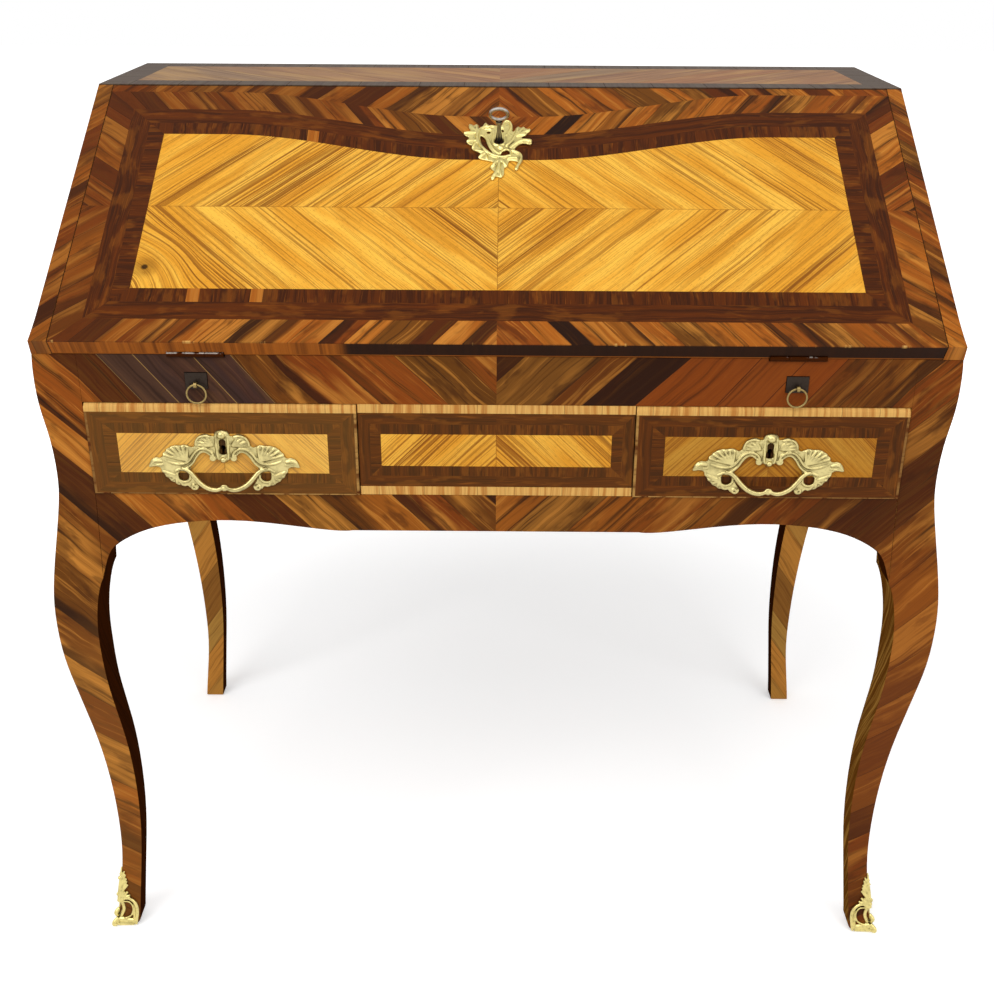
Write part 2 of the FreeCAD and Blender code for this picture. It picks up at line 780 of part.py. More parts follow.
def make_fall():
    half = inner_x - fall_side_gap
    board = box(-half, half, 0, fall_end, -fall_thick, 0)
    leather_half = half - leather_side_margin
    leather = box(
        -leather_half, leather_half, leather_start, lock_start - leather_lock_gap,
        -fall_thick, leather_thick - fall_thick,
    )
    board = board.cut(leather).cut(lock_block(0))
    slot = keyhole(key_radius + key_gap, fall_thick + 2 * overrun, -fall_thick - overrun)
    slot = moved(slot, 0, keyhole_along, 0)
    board = on_fall(board.cut(slot))
    for cutter in hinge_pockets(pocket_gap) + [fall_leaf(), mirrored(fall_leaf())]:
        board = board.cut(cutter)
    save("fall_board", board)
    save("fall_leather", on_fall(leather))

    case = lock_block(0).cut(lock_block(-lock_wall))
    case = case.cut(bolt_space(bolt_gap, fall_end - 2 * lock_wall, fall_end + overrun))
    front_cut = keyhole(key_radius + key_gap, lock_depth / 2 + overrun, lock_depth / 2 - fall_thick)
    save("fall_lock_case", on_fall(case.cut(moved(front_cut, 0, keyhole_along, 0))))
    save("fall_lock_bolt", on_fall(bolt_space(0, keyhole_along + bolt_clear, fall_end - bolt_back)))

    face = slant_length - top_lip
    middle = lock_depth / 2 - fall_thick
    strike = box(
        -strike_width / 2, strike_width / 2, face, face + strike_thick,
        middle - strike_height / 2, middle + strike_height / 2,
    ).cut(bolt_space(mortise_gap, face - overrun, face + overrun))
    save("strike_plate", on_fall(strike))

    half_w = escutcheon_width / 2
    half_h = escutcheon_height / 2
    middle_along = keyhole_along - escutcheon_drop
    points = [Vec(a * half_w, middle_along + b * half_h, 0) for a, b in escutcheon_shares]
    plate = prism([loop(points)], Vec(0, 0, escutcheon_thick))
    save("fall_escutcheon", on_fall(plate.cut(slot)))

    save("fall_key", on_fall(key()))


def key():
    """Key in the lock, turned so that its bow lies across the fall."""
    shank_top = bow_lift - bow_height / 2
    shank_length = shank_top + bow_wire_radius + key_reach
    shank = Part.makeCylinder(key_radius, shank_length, Vec(0, keyhole_along, -key_reach))
    collar = Part.makeCylinder(collar_radius, collar_height, Vec(0, keyhole_along, shank_top - collar_height))
    side = keyhole_along - bit_width / 2
    bit = box(0, bit_length, side, side + bit_width, -key_reach, bit_height - key_reach)
    middle = Vec(0, keyhole_along, bow_lift)
    a = bow_width / 2 - bow_wire_radius
    b = bow_height / 2 - bow_wire_radius
    major = Vec(0, 0, b)
    minor = Vec(a, 0, 0)
    ellipse = Part.Ellipse(middle + major, middle + minor, middle)
    path = Part.Wire([ellipse.toShape()])
    start = ellipse.value(0)
    section = Part.Circle(start, ellipse.tangent(0)[0], bow_wire_radius)
    bow = path.makePipeShell([Part.Wire([section.toShape()])], True, False)
    return shank.fuse(collar).fuse(bit).fuse(bow).removeSplitter()


def make_gradin():
    """Shelf, base, uprights and dividers at the back of the desk, and the two small drawers."""
    y0 = gradin_front
    y1 = back_inner_y
    shelf_low = floor_top + shelf_height
    shelf_high = shelf_low + shelf_thick
    save("gradin_shelf", box(-inner_x, inner_x, y0, y1, shelf_low, shelf_high))
    upright_in = upright_x - upright_thick / 2
    upright_out = upright_x + upright_thick / 2
    base_low = floor_top + gradin_gap
    save("gradin_base", box(-upright_in, upright_in, y0, y1, base_low, base_low + gradin_base_thick))
    upright = box(upright_in, upright_out, y0, y1, floor_top, shelf_low)
    dividers = [upright, mirrored(upright)]
    pitch = 2 * inner_x / pigeonhole_count
    for i in range(1, pigeonhole_count):
        x = -inner_x + i * pitch
        dividers.append(box(x - divider_thick / 2, x + divider_thick / 2, y0, y1, shelf_high, top_under))
    save("gradin_dividers", group(dividers))

    x0 = upright_out + small_gap
    x1 = inner_x - small_gap
    z0 = floor_top + small_seat
    z1 = shelf_low - small_gap
    front_back = y0 + small_front_thick
    save_pair("small_drawer_front", box(x0, x1, y0, front_back, z0, z1))
    tray_back = y1 - small_back_gap
    tray = box(x0, x1, front_back, tray_back, z0, z0 + small_tray_height)
    hollow = box(
        x0 + small_wall, x1 - small_wall, front_back, tray_back - small_wall,
        z0 + small_bottom_thick, z0 + small_tray_height + overrun,
    )
    save_pair("small_drawer_tray", tray.cut(hollow))
    save_pair("small_drawer_knob", knob((x0 + x1) / 2, y0, (z0 + z1) / 2))


def knob(x, y, z):
    """Turned brass knob standing out of a small drawer."""
    middle = y - knob_neck_length - knob_radius
    neck = Part.makeCylinder(knob_neck_radius, y - middle, Vec(x, y, z), Vec(0, -1, 0))
    return neck.fuse(Part.makeSphere(knob_radius, Vec(x, middle, z))).removeSplitter()


os.makedirs("parts", exist_ok=True)
make_legs()
make_case()
make_front()
make_floor()
make_lopers()
make_drawer("right", unmoved)
make_drawer("left", mirrored)
make_hinges()
make_fall()
make_gradin()
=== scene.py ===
import json
import math
from functools import reduce

import bpy
from bpy.props import FloatProperty, FloatVectorProperty, PointerProperty
from mathutils import Matrix, Vector
from mathutils.bvhtree import BVHTree

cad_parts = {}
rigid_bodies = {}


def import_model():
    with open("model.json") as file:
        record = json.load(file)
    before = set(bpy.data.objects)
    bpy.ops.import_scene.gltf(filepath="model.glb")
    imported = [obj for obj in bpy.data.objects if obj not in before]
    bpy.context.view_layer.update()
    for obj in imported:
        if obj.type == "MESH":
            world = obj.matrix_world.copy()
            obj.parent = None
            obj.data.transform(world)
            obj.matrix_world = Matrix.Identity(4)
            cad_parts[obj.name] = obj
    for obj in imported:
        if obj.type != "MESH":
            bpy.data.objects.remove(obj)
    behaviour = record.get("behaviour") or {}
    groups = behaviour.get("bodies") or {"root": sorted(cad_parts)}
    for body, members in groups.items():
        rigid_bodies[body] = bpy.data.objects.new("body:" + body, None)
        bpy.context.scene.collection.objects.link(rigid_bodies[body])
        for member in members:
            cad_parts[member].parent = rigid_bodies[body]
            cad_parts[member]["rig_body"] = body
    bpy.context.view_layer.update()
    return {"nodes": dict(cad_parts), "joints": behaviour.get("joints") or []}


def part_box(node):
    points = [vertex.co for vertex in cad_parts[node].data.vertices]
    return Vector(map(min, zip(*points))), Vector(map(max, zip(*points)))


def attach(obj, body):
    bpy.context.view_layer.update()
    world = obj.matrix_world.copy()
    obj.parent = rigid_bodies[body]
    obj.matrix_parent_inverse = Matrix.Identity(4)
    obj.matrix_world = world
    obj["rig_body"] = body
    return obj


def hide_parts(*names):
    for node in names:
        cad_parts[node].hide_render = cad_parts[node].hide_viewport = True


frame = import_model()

bl_info = {
    "name": "Slant-front desk",
    "version": (1, 0, 0),
    "blender": (4, 5, 0),
    "location": "View3D > Sidebar > Desk",
    "description": "Dresses a slant-front writing desk in feather parquetry, leather and gilt mounts",
    "category": "Object",
}

MM = 0.001
JOINTS = {joint["name"]: joint for joint in frame["joints"]}
SIDES = {"left": -1, "right": 1}

# The fall lies on a slope, so its pattern is laid out across, up and off its face.
UP_SLOPE = Vector(JOINTS["bolt_slide"]["axis"])
OFF_FACE = Vector(JOINTS["key_turn"]["axis"])
FALL_HINGE = Vector(JOINTS["fall_hinge"]["pos_m"])
FALL_FOOT = FALL_HINGE + OFF_FACE * max(
    (v.co - FALL_HINGE).dot(OFF_FACE) for v in frame["nodes"]["fall_board"].data.vertices
)
SLOPE = math.atan2(UP_SLOPE.z, UP_SLOPE.y)
KEYHOLE_UP = (Vector(JOINTS["key_turn"]["pos_m"]) - FALL_FOOT).dot(UP_SLOPE)
FALL_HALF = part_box("fall_board")[1].x

# The camera's place and lens, for the photograph's frame.
CAMERA_PLACE = Vector((0.0065, -1.3672, 1.0856))
CAMERA_PITCH = math.radians(25.195)
CAMERA_YAW = math.radians(0.28)
CAMERA_ROLL = math.radians(0.3)
CAMERA_LENS = 45.27
CAMERA_FILM = 36.0

# Soft square lamps: their names, places, sizes and powers, and the place that they look at.
LAMPS = (
    ("key_light", (-1.7, -1.9, 2.4), 1.8, 40.0),
    ("fill_light", (1.9, -1.8, 1.7), 2.0, 20.0),
    ("top_light", (0.2, -1.5, 3.0), 2.0, 26.0),
)
LAMP_AIM = Vector((0.0, 0.0, 0.55))
# Even light from all round.
SKY_LEVEL = 0.5
# The floor: its size, place and two pale tones, and the glow that makes it white.
# The glow is less under the desk, and grows over these distances from the middle.
FLOOR_SIZE = 14.0
FLOOR_PLACE = (0, 3.0, -0.0005)
FLOOR_TONES = ((0.90, 0.90, 0.90), (0.86, 0.86, 0.86))
FLOOR_GLOW, OPEN_GLOW = 0.38, 0.45
OPEN_FROM, OPEN_AT = 0.6, 1.6
# Rays for which the room round the desk is white.
SEEN_RAYS = ("Is Camera Ray", "Is Glossy Ray", "Is Transmission Ray")
WHITE = (1.0, 1.0, 1.0, 1.0)


def shown(red, green, blue):
    """A colour as a screen shows it, from 0 to 255, turned into the values that light uses."""
    return tuple(((c / 255 + 0.055) / 1.055) ** 2.4 for c in (red, green, blue))


def length(name, description, default):
    """A size in metres that a user may change."""
    return FloatProperty(
        name=name, description=description, default=default, min=0.0, precision=4, unit="LENGTH"
    )


def colour(name, description, default):
    """A colour that a user may change."""
    return FloatVectorProperty(
        name=name, description=description, default=default, size=3, min=0.0, max=1.0, subtype="COLOR"
    )


class SlantDeskSizes(bpy.types.PropertyGroup):
    """Sizes of the veneer work and of the mounts."""

    arris: length("Eased arris", "How much is taken off the boards' sharp edges", 0.0009)
    foot: length("Foot", "Rounding under the inner side of the front legs", 0.009)
    drawer_lip: length("Drawer lip", "Rounding of the drawer fronts' edge", 0.0045)
    border: length("Feather border", "Width of the slanting strips round the fall and sides", 0.028)
    long_band: length("Mitred band", "Width of the fall's dark band along its grain", 0.0215)
    cross_band: length("Cross band", "Width of the fall's dark band across its grain", 0.017)
    crown: length("Crown", "Height of the fall's serpentine line at its ends, up the slope", 0.3495)
    dip: length("Dip", "How far the serpentine line drops at the middle", 0.0365)
    field_seam: length("Field seam", "Height of the fall's level seam, up the slope", 0.1767)
    strip: length("Strip", "Usual width of one strip of the feather borders", 0.021)
    front_strip: length("Front strip", "Usual width of one strip of the rail, aprons and legs", 0.038)
    top_band: length("Top band", "Width of the dark band round the top", 0.034)
    cast_grid: length("Casting grid", "Fineness of the castings' skin", 0.00055)


class SlantDeskColours(bpy.types.PropertyGroup):
    """Colours of the woods, the leather and the metals."""

    tan: colour("Tan strips", "Lightest strips of the feather borders", shown(192, 126, 50))
    orange: colour("Orange strips", "Usual strips of the feather borders", shown(156, 86, 24))
    red: colour("Red strips", "Reddish strips of the feather borders", shown(118, 54, 12))
    brown: colour("Brown strips", "Dull brown strips of the feather borders", shown(92, 54, 14))
    violet: colour("Violet strips", "Purple-brown strips of the rail", shown(52, 36, 32))
    # Also the painted shade in the keyholes.
    black: colour("Black strips", "Darkest strips of the feather borders", shown(30, 13, 3))
    gold: colour("Field", "Golden veneer of the fall's field", shown(216, 150, 44))
    pale_gold: colour("Pale field", "Lighter parts of the golden veneer", shown(234, 178, 68))
    # These browns are also painted shade: vein over the right drawer's field; band over the fall's left
    # feathers and the sides' left edges; band_dark over the right of the front, the shaded linings and the
    # hinges.
    vein: colour("Veins", "Brown streaks in the golden veneer", shown(122, 68, 18))
    band: colour("Dark bands", "Rosewood bands round the fields", shown(80, 36, 5))
    band_dark: colour("Band streaks", "Darker streaks of the rosewood bands", shown(50, 21, 3))
    lip: colour("Drawer lip", "Pale cross-grained edge of the drawers", shown(206, 160, 88))
    top: colour("Top", "Faded veneer of the top", shown(136, 104, 70))
    top_edge: colour("Top band", "Grey-brown band round the top", shown(74, 58, 42))
    olive: colour("Olive", "Olive veneer of the back legs", shown(168, 124, 56))
    oak: colour("Carcase", "Oak of the inside and the back", shown(122, 84, 48))
    leather: colour("Leather", "Writing surface", shown(88, 38, 26))
    gilt: colour("Gilt", "Gilt bronze of the drawer pulls", shown(184, 170, 116))
    # A lighter copy of the gilt that stands in for light: painted light on the escutcheon and the sabots.
    lit_gilt: colour("Pale gilt", "Gilt bronze of the escutcheon and the sabots", shown(214, 198, 128))
    # Tarnish, and painted shade in the mounts' hollows.
    gilt_dark: colour("Gilt recess", "Tarnish in the mounts' hollows", shown(70, 57, 25))
    brass: colour("Brass", "Knobs, eye studs and rings", shown(136, 116, 72))
    # On the hinges, steel shows in rubbed patches and as painted highlights on their upper faces.
    steel: colour("Steel", "Key, locks and rubbed hinges", shown(152, 146, 138))
    iron: colour("Iron", "Dark iron of the lopers", shown(52, 44, 38))


class Field:
    """A number that varies over a surface. Arithmetic on it adds nodes to its finish."""

    def __init__(self, finish, socket):
        self.finish = finish
        self.socket = socket

    def __add__(self, other):
        return self.finish.math("ADD", self, other)

    def __sub__(self, other):
        return self.finish.math("SUBTRACT", self, other)

    def __rsub__(self, other):
        return self.finish.math("SUBTRACT", other, self)

    def __mul__(self, other):
        return self.finish.math("MULTIPLY", self, other)

    def __truediv__(self, other):
        return self.finish.math("DIVIDE", self, other)

    def __lt__(self, other):
        return self.finish.math("LESS_THAN", self, other)

    def __gt__(self, other):
        return self.finish.math("GREATER_THAN", self, other)

    def __abs__(self):
        return self.finish.math("ABSOLUTE", self)

    __radd__ = __add__
    __rmul__ = __mul__


class Finish:
    """A material under way, with short words for the nodes that it is made of."""

    def __init__(self, name):
        self.material = bpy.data.materials.new(name)
        self.material.use_nodes = True
        self.nodes = self.material.node_tree.nodes
        self.links = self.material.node_tree.links
        self.nodes.clear()

    def plug(self, value, socket):
        """Joins a field to a socket, or sets a plain number or colour on it."""
        if isinstance(value, Field):
            self.links.new(value.socket, socket)
        elif socket.type == "RGBA":
            socket.default_value = (*value[:3], 1.0)
        else:
            socket.default_value = value

    def math(self, operation, *values):
        node = self.nodes.new("ShaderNodeMath")
        node.operation = operation
        for value, socket in zip(values, node.inputs):
            self.plug(value, socket)
        return Field(self, node.outputs["Value"])

    def least(self, *values):
        """The smallest of several fields."""
        return reduce(lambda a, b: self.math("MINIMUM", a, b), values)

    def most(self, *values):
        """The largest of several fields."""
        return reduce(lambda a, b: self.math("MAXIMUM", a, b), values)

    def choose(self, test, yes, no):
        """One number where the test is 1, another where it is 0."""
        node = self.nodes.new("ShaderNodeMix")
        self.plug(test, node.inputs[0])
        self.plug(no, node.inputs[2])
        self.plug(yes, node.inputs[3])
        return Field(self, node.outputs[0])

    def tint(self, factor, under, over):
        """One colour laid over another."""
        node = self.nodes.new("ShaderNodeMix")
        node.data_type = "RGBA"
        self.plug(factor, node.inputs[0])
        self.plug(under, node.inputs[6])
        self.plug(over, node.inputs[7])
        return Field(self, node.outputs[2])

    def soft(self, value, start, end):
        """0 before start, 1 after end, and smooth between them."""
        node = self.nodes.new("ShaderNodeMapRange")
        node.interpolation_type = "SMOOTHSTEP"
        self.plug(value, node.inputs["Value"])
        self.plug(start, node.inputs["From Min"])
        self.plug(end, node.inputs["From Max"])
        return Field(self, node.outputs["Result"])

    def ramp(self, value, stops):
        """A colour picked along a row of colours."""
        node = self.nodes.new("ShaderNodeValToRGB")
        elements = node.color_ramp.elements
        while len(elements) < len(stops):
            elements.new(0.5)
        for element, (place, shade) in zip(elements, stops):
            element.position = place
            element.color = (*shade, 1.0)
        self.plug(value, node.inputs["Fac"])
        return Field(self, node.outputs["Color"])

    def split(self, socket):
        node = self.nodes.new("ShaderNodeSeparateXYZ")
        self.links.new(socket, node.inputs["Vector"])
        return [Field(self, out) for out in node.outputs]

    def place(self):
        """Where a point is on the part: across, back and up."""
        return self.split(self.nodes.new("ShaderNodeTexCoord").outputs["Object"])

    def facing(self):
        """Which way the surface faces."""
        return self.split(self.nodes.new("ShaderNodeTexCoord").outputs["Normal"])

    def slope_place(self):
        """Where a point is on the fall: across, up the slope and off its face."""
        node = self.nodes.new("ShaderNodeMapping")
        turn = Matrix.Rotation(-SLOPE, 3, "X")
        node.inputs["Rotation"].default_value = (-SLOPE, 0.0, 0.0)
        node.inputs["Location"].default_value = -(turn @ FALL_FOOT)
        source = self.nodes.new("ShaderNodeTexCoord").outputs["Object"]
        self.links.new(source, node.inputs["Vector"])
        return self.split(node.outputs["Vector"])

    def vector(self, *values):
        node = self.nodes.new("ShaderNodeCombineXYZ")
        for value, socket in zip(values, node.inputs):
            self.plug(value, socket)
        return Field(self, node.outputs["Vector"])

    def noise(self, x, y, z, detail=3.0, roughness=0.55):
        """Cloudy noise, from 0 to 1."""
        node = self.nodes.new("ShaderNodeTexNoise")
        node.inputs["Scale"].default_value = 1.0
        node.inputs["Detail"].default_value = detail
        node.inputs["Roughness"].default_value = roughness
        self.plug(self.vector(x, y, z), node.inputs["Vector"])
        return Field(self, node.outputs["Fac"])

    def grain(self, figure, across, along, layer):
        """One figure of wood grain: noise that is drawn out along the grain."""
        often_across, often_along, detail, roughness = figure
        return self.noise(across * often_across, along * often_along, layer, detail, roughness)

    def stained(self, shade, *stains):
        """Lays colours over one another: what drives each, its start and end, its share and the colour."""
        for field, start, end, share, over in stains:
            shade = self.tint(self.soft(field, start, end) * share, shade, over)
        return shade

    def laid(self, ground, *zones):
        """How wood is laid, zone over zone: places across and along the grain, and the width of one piece."""
        for test, *values in zones:
            ground = [self.choose(test, yes, no) for yes, no in zip(values, ground)]
        return ground

    def cells(self, place):
        """For each strip along a line: two numbers of its own, its middle, and how near its joint is."""
        pick = self.nodes.new("ShaderNodeTexVoronoi")
        joint = self.nodes.new("ShaderNodeTexVoronoi")
        joint.feature = "DISTANCE_TO_EDGE"
        for node in (pick, joint):
            node.voronoi_dimensions = "1D"
            node.inputs["Scale"].default_value = 1.0
            node.inputs["Randomness"].default_value = 0.95
            self.plug(place, node.inputs["W"])
        tone, lot, _ = self.split(pick.outputs["Color"])
        return tone, lot, Field(self, pick.outputs["W"]), Field(self, joint.outputs["Distance"])

    def hollow(self, reach):
        """1 in the open and less in narrow hollows."""
        node = self.nodes.new("ShaderNodeAmbientOcclusion")
        node.samples = 8
        node.only_local = True
        node.inputs["Distance"].default_value = reach
        return Field(self, node.outputs["AO"])

    def close(self, shade, roughness, height=None, relief=0.0, metallic=0.0, specular=0.5):
        """Puts the shader on and gives back the finished material."""
        shader = self.nodes.new("ShaderNodeBsdfPrincipled")
        out = self.nodes.new("ShaderNodeOutputMaterial")
        self.plug(shade, shader.inputs["Base Color"])
        self.plug(roughness, shader.inputs["Roughness"])
        shader.inputs["Metallic"].default_value = metallic
        shader.inputs["Specular IOR Level"].default_value = specular
        if height is not None:
            bump = self.nodes.new("ShaderNodeBump")
            bump.inputs["Strength"].default_value = 1.0
            bump.inputs["Distance"].default_value = relief
            self.plug(height, bump.inputs["Height"])
            self.links.new(bump.outputs["Normal"], shader.inputs["Normal"])
        self.links.new(shader.outputs["BSDF"], out.inputs["Surface"])
        return self.material


# Figures of the woods' grain: how often each repeats in a metre, across the grain and along it, then
# its detail and roughness.
WAVE = (20.0, 11.0, 2.0, 0.55)
STREAK = (190.0, 4.0, 4.0, 0.66)
BLOTCH = (75.0, 24.0, 3.0, 0.6)
FIBRE = (1300.0, 26.0, 2.0, 0.6)
CLOUD = (45.0, 7.0, 3.0, 0.55)
# Figures that only the golden veneer has.
DRIFT = (9.0, 7.0, 2.0, 0.55)
CLUSTER = (34.0, 1.0, 3.0, 0.55)
RUST = (60.0, 3.0, 3.0, 0.55)
LINE = (560.0, 3.0, 2.0, 0.6)
VEIN = (300.0, 2.0, 3.0, 0.6)
PORE = (1500.0, 160.0, 1.0, 0.55)
# How far the grain waves, in metres.
WAVE_REACH = 0.014
DRIFT_REACH = 0.005

# Half widths of the lines where pieces meet: where a line starts to show, and where it is full.
JOINT = (0.0006, 0.0002)
SEAM = (0.0006, 0.0003)

# Widths of one piece of wood: a field that is all one piece, a band along its grain and one across it,
# a board of the inside, the panels' bands and lips, then the top, the linings, back legs and planks.
WHOLE = 4.0
BAND_PIECE = 0.7
CROSS_PIECE = 0.034
BOARD_PIECE = 0.21
PANEL_CROSS_PIECE, PANEL_BAND_PIECE, LIP_PIECE = 0.03, 0.6, 0.05
TOP_PIECE, TOP_BAND_PIECE = 0.05, 0.06
LINING_PIECE, BACK_LEG_PIECE, PLANK_PIECE = 0.05, 0.036, 0.13

# Numbers that set rows of strips apart, so that each row draws its own tones: the fall's halves, its ends,
# the row over its serpentine line and its field, then the front's halves and flanks, the panels, the top
# and the sides.
HALF_LOT, END_LOT, CROWN_LOT, FIELD_LOT = 17.3, 40.7, 29.9, 3.0
FRONT_LOT, FLANK_LOT = 23.1, 51.9
PANEL_LOT, TOP_LOT, SIDE_LOT = 9.7, 5.3, 11.3
# Numbers that set the quarters of a golden field apart.
QUARTER_ACROSS, QUARTER_UP = 3.1, 1.7

# Chevrons slant by half a right angle, and the strips of the borders by a little less.
HALF_TURN = math.sqrt(0.5)
BORDER_LEAN = 0.8
BORDER_SLANT = 1.0 / math.hypot(1.0, BORDER_LEAN)

# Old shellac, over fibres and in the joints.
SHELLAC_DARK = (0.02, 0.012, 0.008)
JOINT_DARK = (0.012, 0.007, 0.005)

# How high the bumps of a finish are, in metres.
VENEER_RELIEF, LINING_RELIEF, LEATHER_RELIEF, METAL_RELIEF = 0.00012, 0.0001, 0.00025, 0.00024
# How often leather's pebbles and wear, and metal's mottle and dull patches, repeat in a metre.
PEBBLE, WEAR, MOTTLE, PATCH = 700.0, 14.0, 420.0, 90.0
# How far a hollow of a casting gathers tarnish and painted shade, in metres, and how rough gilding is.
HOLLOW_REACH = 0.003
GILT_ROUGH = 0.22
# Where rusted steel shows bright, in rubbed patches and as painted highlights: levels of the patches at the
# lit left and at the shaded right, and how far up a face looks.
RUBBED_AND_LIT_LEFT, RUBBED_AND_SHADED_RIGHT, HIGHLIGHT_UP = (0.38, 0.46), (0.56, 0.62), (0.35, 0.70)

# Tones of the strips, in the order of the chance that picks them: the fall's and sides', then the front's.
FEATHER_ROW = ("black", "red", "orange", "brown", "red", "orange", "orange", "tan")
FRONT_ROW = ("black", "band", "red", "brown", "orange", "red", "brown", "tan")


class Veneer:
    """Strips of veneer laid side by side: their tones, joints, streaks and fibres."""

    def __init__(self, finish, across, along, piece, lot=0.0):
        place = across / piece + lot
        self.tone, self.lot, middle, edge = finish.cells(place)
        self.home = (middle - lot) * piece
        self.joint = finish.soft(edge * piece, *JOINT)
        layer = self.lot * 60.0
        across = across + (finish.grain(WAVE, across, along, layer) - 0.5) * WAVE_REACH
        self.streak = finish.grain(STREAK, across, along, layer)
        self.blotch = finish.grain(BLOTCH, across, along, layer)
        self.fibre = finish.grain(FIBRE, across, along, layer)
        self.cloud = finish.grain(CLOUD, across, along, layer)
        drift = (place - middle) * finish.math("SIGN", self.lot - 0.5)
        self.heart = finish.soft(drift + (self.cloud - 0.5) * 1.3, 0.10, 0.42)


def feather_shade(finish, veneer, colours, row=FEATHER_ROW):
    """Colour of slanting strips: each has its own tone, and darkens to one side as heartwood does."""
    stops = [(i / (len(row) - 1), getattr(colours, wood)) for i, wood in enumerate(row)]
    light = finish.soft(veneer.tone, 0.05, 0.30) * 0.52
    deep = finish.soft(veneer.lot, 0.25, 0.75) * 0.80
    shade = finish.stained(
        finish.ramp(veneer.tone, stops),
        (veneer.cloud, 0.50, 0.34, light, colours.tan),
        (veneer.streak, 0.46, 0.36, light, colours.tan),
        (veneer.streak, 0.50, 0.62, 0.60, colours.brown),
        (veneer.blotch, 0.53, 0.68, 0.50, colours.band_dark),
        (veneer.streak, 0.59, 0.66, 0.62, colours.black),
    )
    return finish.tint(veneer.heart * deep, shade, colours.black)


def band_shade(finish, veneer, colours):
    """Colour of the dark bands."""
    return finish.stained(
        colours.band,
        (veneer.streak, 0.42, 0.60, 0.85, colours.band_dark),
        (veneer.blotch, 0.48, 0.36, 0.40, colours.vein),
        (veneer.cloud, 0.50, 0.75, 0.25, colours.red),
        (veneer.fibre, 0.42, 0.22, 0.40, colours.orange),
    )


def field_shade(finish, veneer, across, along, colours, quarter):
    """Colour of the golden veneer, with clusters of fine brown veins and small pores."""
    across = across + (finish.grain(DRIFT, across, along, 1.0) - 0.5) * DRIFT_REACH
    cluster = finish.soft(finish.grain(CLUSTER, across, along, 5.0 + quarter), 0.42, 0.66)
    rust = finish.soft(finish.grain(RUST, across, along, 7.0 + quarter), 0.56, 0.70)
    shade = finish.stained(colours.gold, (veneer.cloud, 0.38, 0.66, 1.0, colours.pale_gold))
    shade = finish.tint(cluster * 0.08 + rust * 0.30, shade, colours.orange)
    line = finish.grain(LINE, across, along, 9.0 + quarter)
    vein = finish.grain(VEIN, across, along, 4.0 + quarter)
    pore = finish.grain(PORE, across, along, 2.0)
    return finish.stained(
        shade,
        (line, 0.51, 0.57, cluster * 0.56 + 0.24, colours.vein),
        (vein, 0.575, 0.615, cluster * 0.36 + 0.52, colours.vein),
        (pore, 0.60, 0.72, 0.45, colours.vein),
    )


def polish(finish, shade, veneer, gloss=0.40):
    """Old shellac over veneer: fibres and joints show in it, and the joints are dark."""
    shade = finish.stained(shade, (veneer.fibre, 0.45, 0.80, 0.25, SHELLAC_DARK))
    shade = finish.tint(veneer.joint * 0.4, shade, JOINT_DARK)
    rough = gloss + veneer.fibre * 0.14 + veneer.joint * 0.25
    height = veneer.fibre * 0.35 + veneer.tone * 0.25 - veneer.joint
    return finish.close(shade, rough, height, VENEER_RELIEF, specular=0.06)


# Ends of the serpentine line's dip, across the fall: its outer end, then its middle.
DIP_ENDS = (0.285, 0.035)
# The strips at the middle of each border have one tone, and so have those at the ends of the top border.
CENTRE_STRIPS, CENTRE_TONE = 0.034, 0.60
CROWN_END, CROWN_END_TONE = 0.372, 0.16
# The knot in the field: its place across and up the fall, how near it the grain starts to bend and is bent
# most, and how far, then how near it the wood turns brown, and black.
KNOT_ACROSS, KNOT_UP = -0.343, 0.094
KNOT_BEND, KNOT_SHIFT = (0.060, 0.004), 0.016
KNOT_BROWN, KNOT_BLACK = (0.018, 0.006), (0.0045, 0.002)
# A height midway up the slope.
MIDWAY = 0.17
# Pieces let into the fall's cross band: their place across, and whether they are above midway or below it.
FALL_REPAIRS = ((-0.291, -1), (-0.230, -1), (-0.1955, 1))
REPAIR_HALF = 0.006
# How deep under the fall's face its edges begin, and its inner side.
EDGE_DEPTH, INNER_DEPTH = 0.0012, 0.0168
# Where the fall's lower edge turns from brown to black, across.
BLACK_EDGE = (-0.152, -0.138)
# Where painted shade darkens the feathers: in the top border, across and up, and at the left end.
SHADE_CROWN_ACROSS, SHADE_CROWN_UP = (0.05, -0.20), (0.28, 0.32)
SHADE_END = (-0.24, -0.40)
# Painted shade in the keyhole: how far below the key its middle is, where it starts and is full.
KEYHOLE_SHADE_DROP = 0.004
KEYHOLE_SHADE_EDGE = (0.011, 0.008)
# Chips along the fall's foot: how far up and how deep they go, and how often they repeat in a metre.
CHIP_HEIGHT, CHIP_DEPTH, CHIPS = 0.0016, 0.0022, 30.0


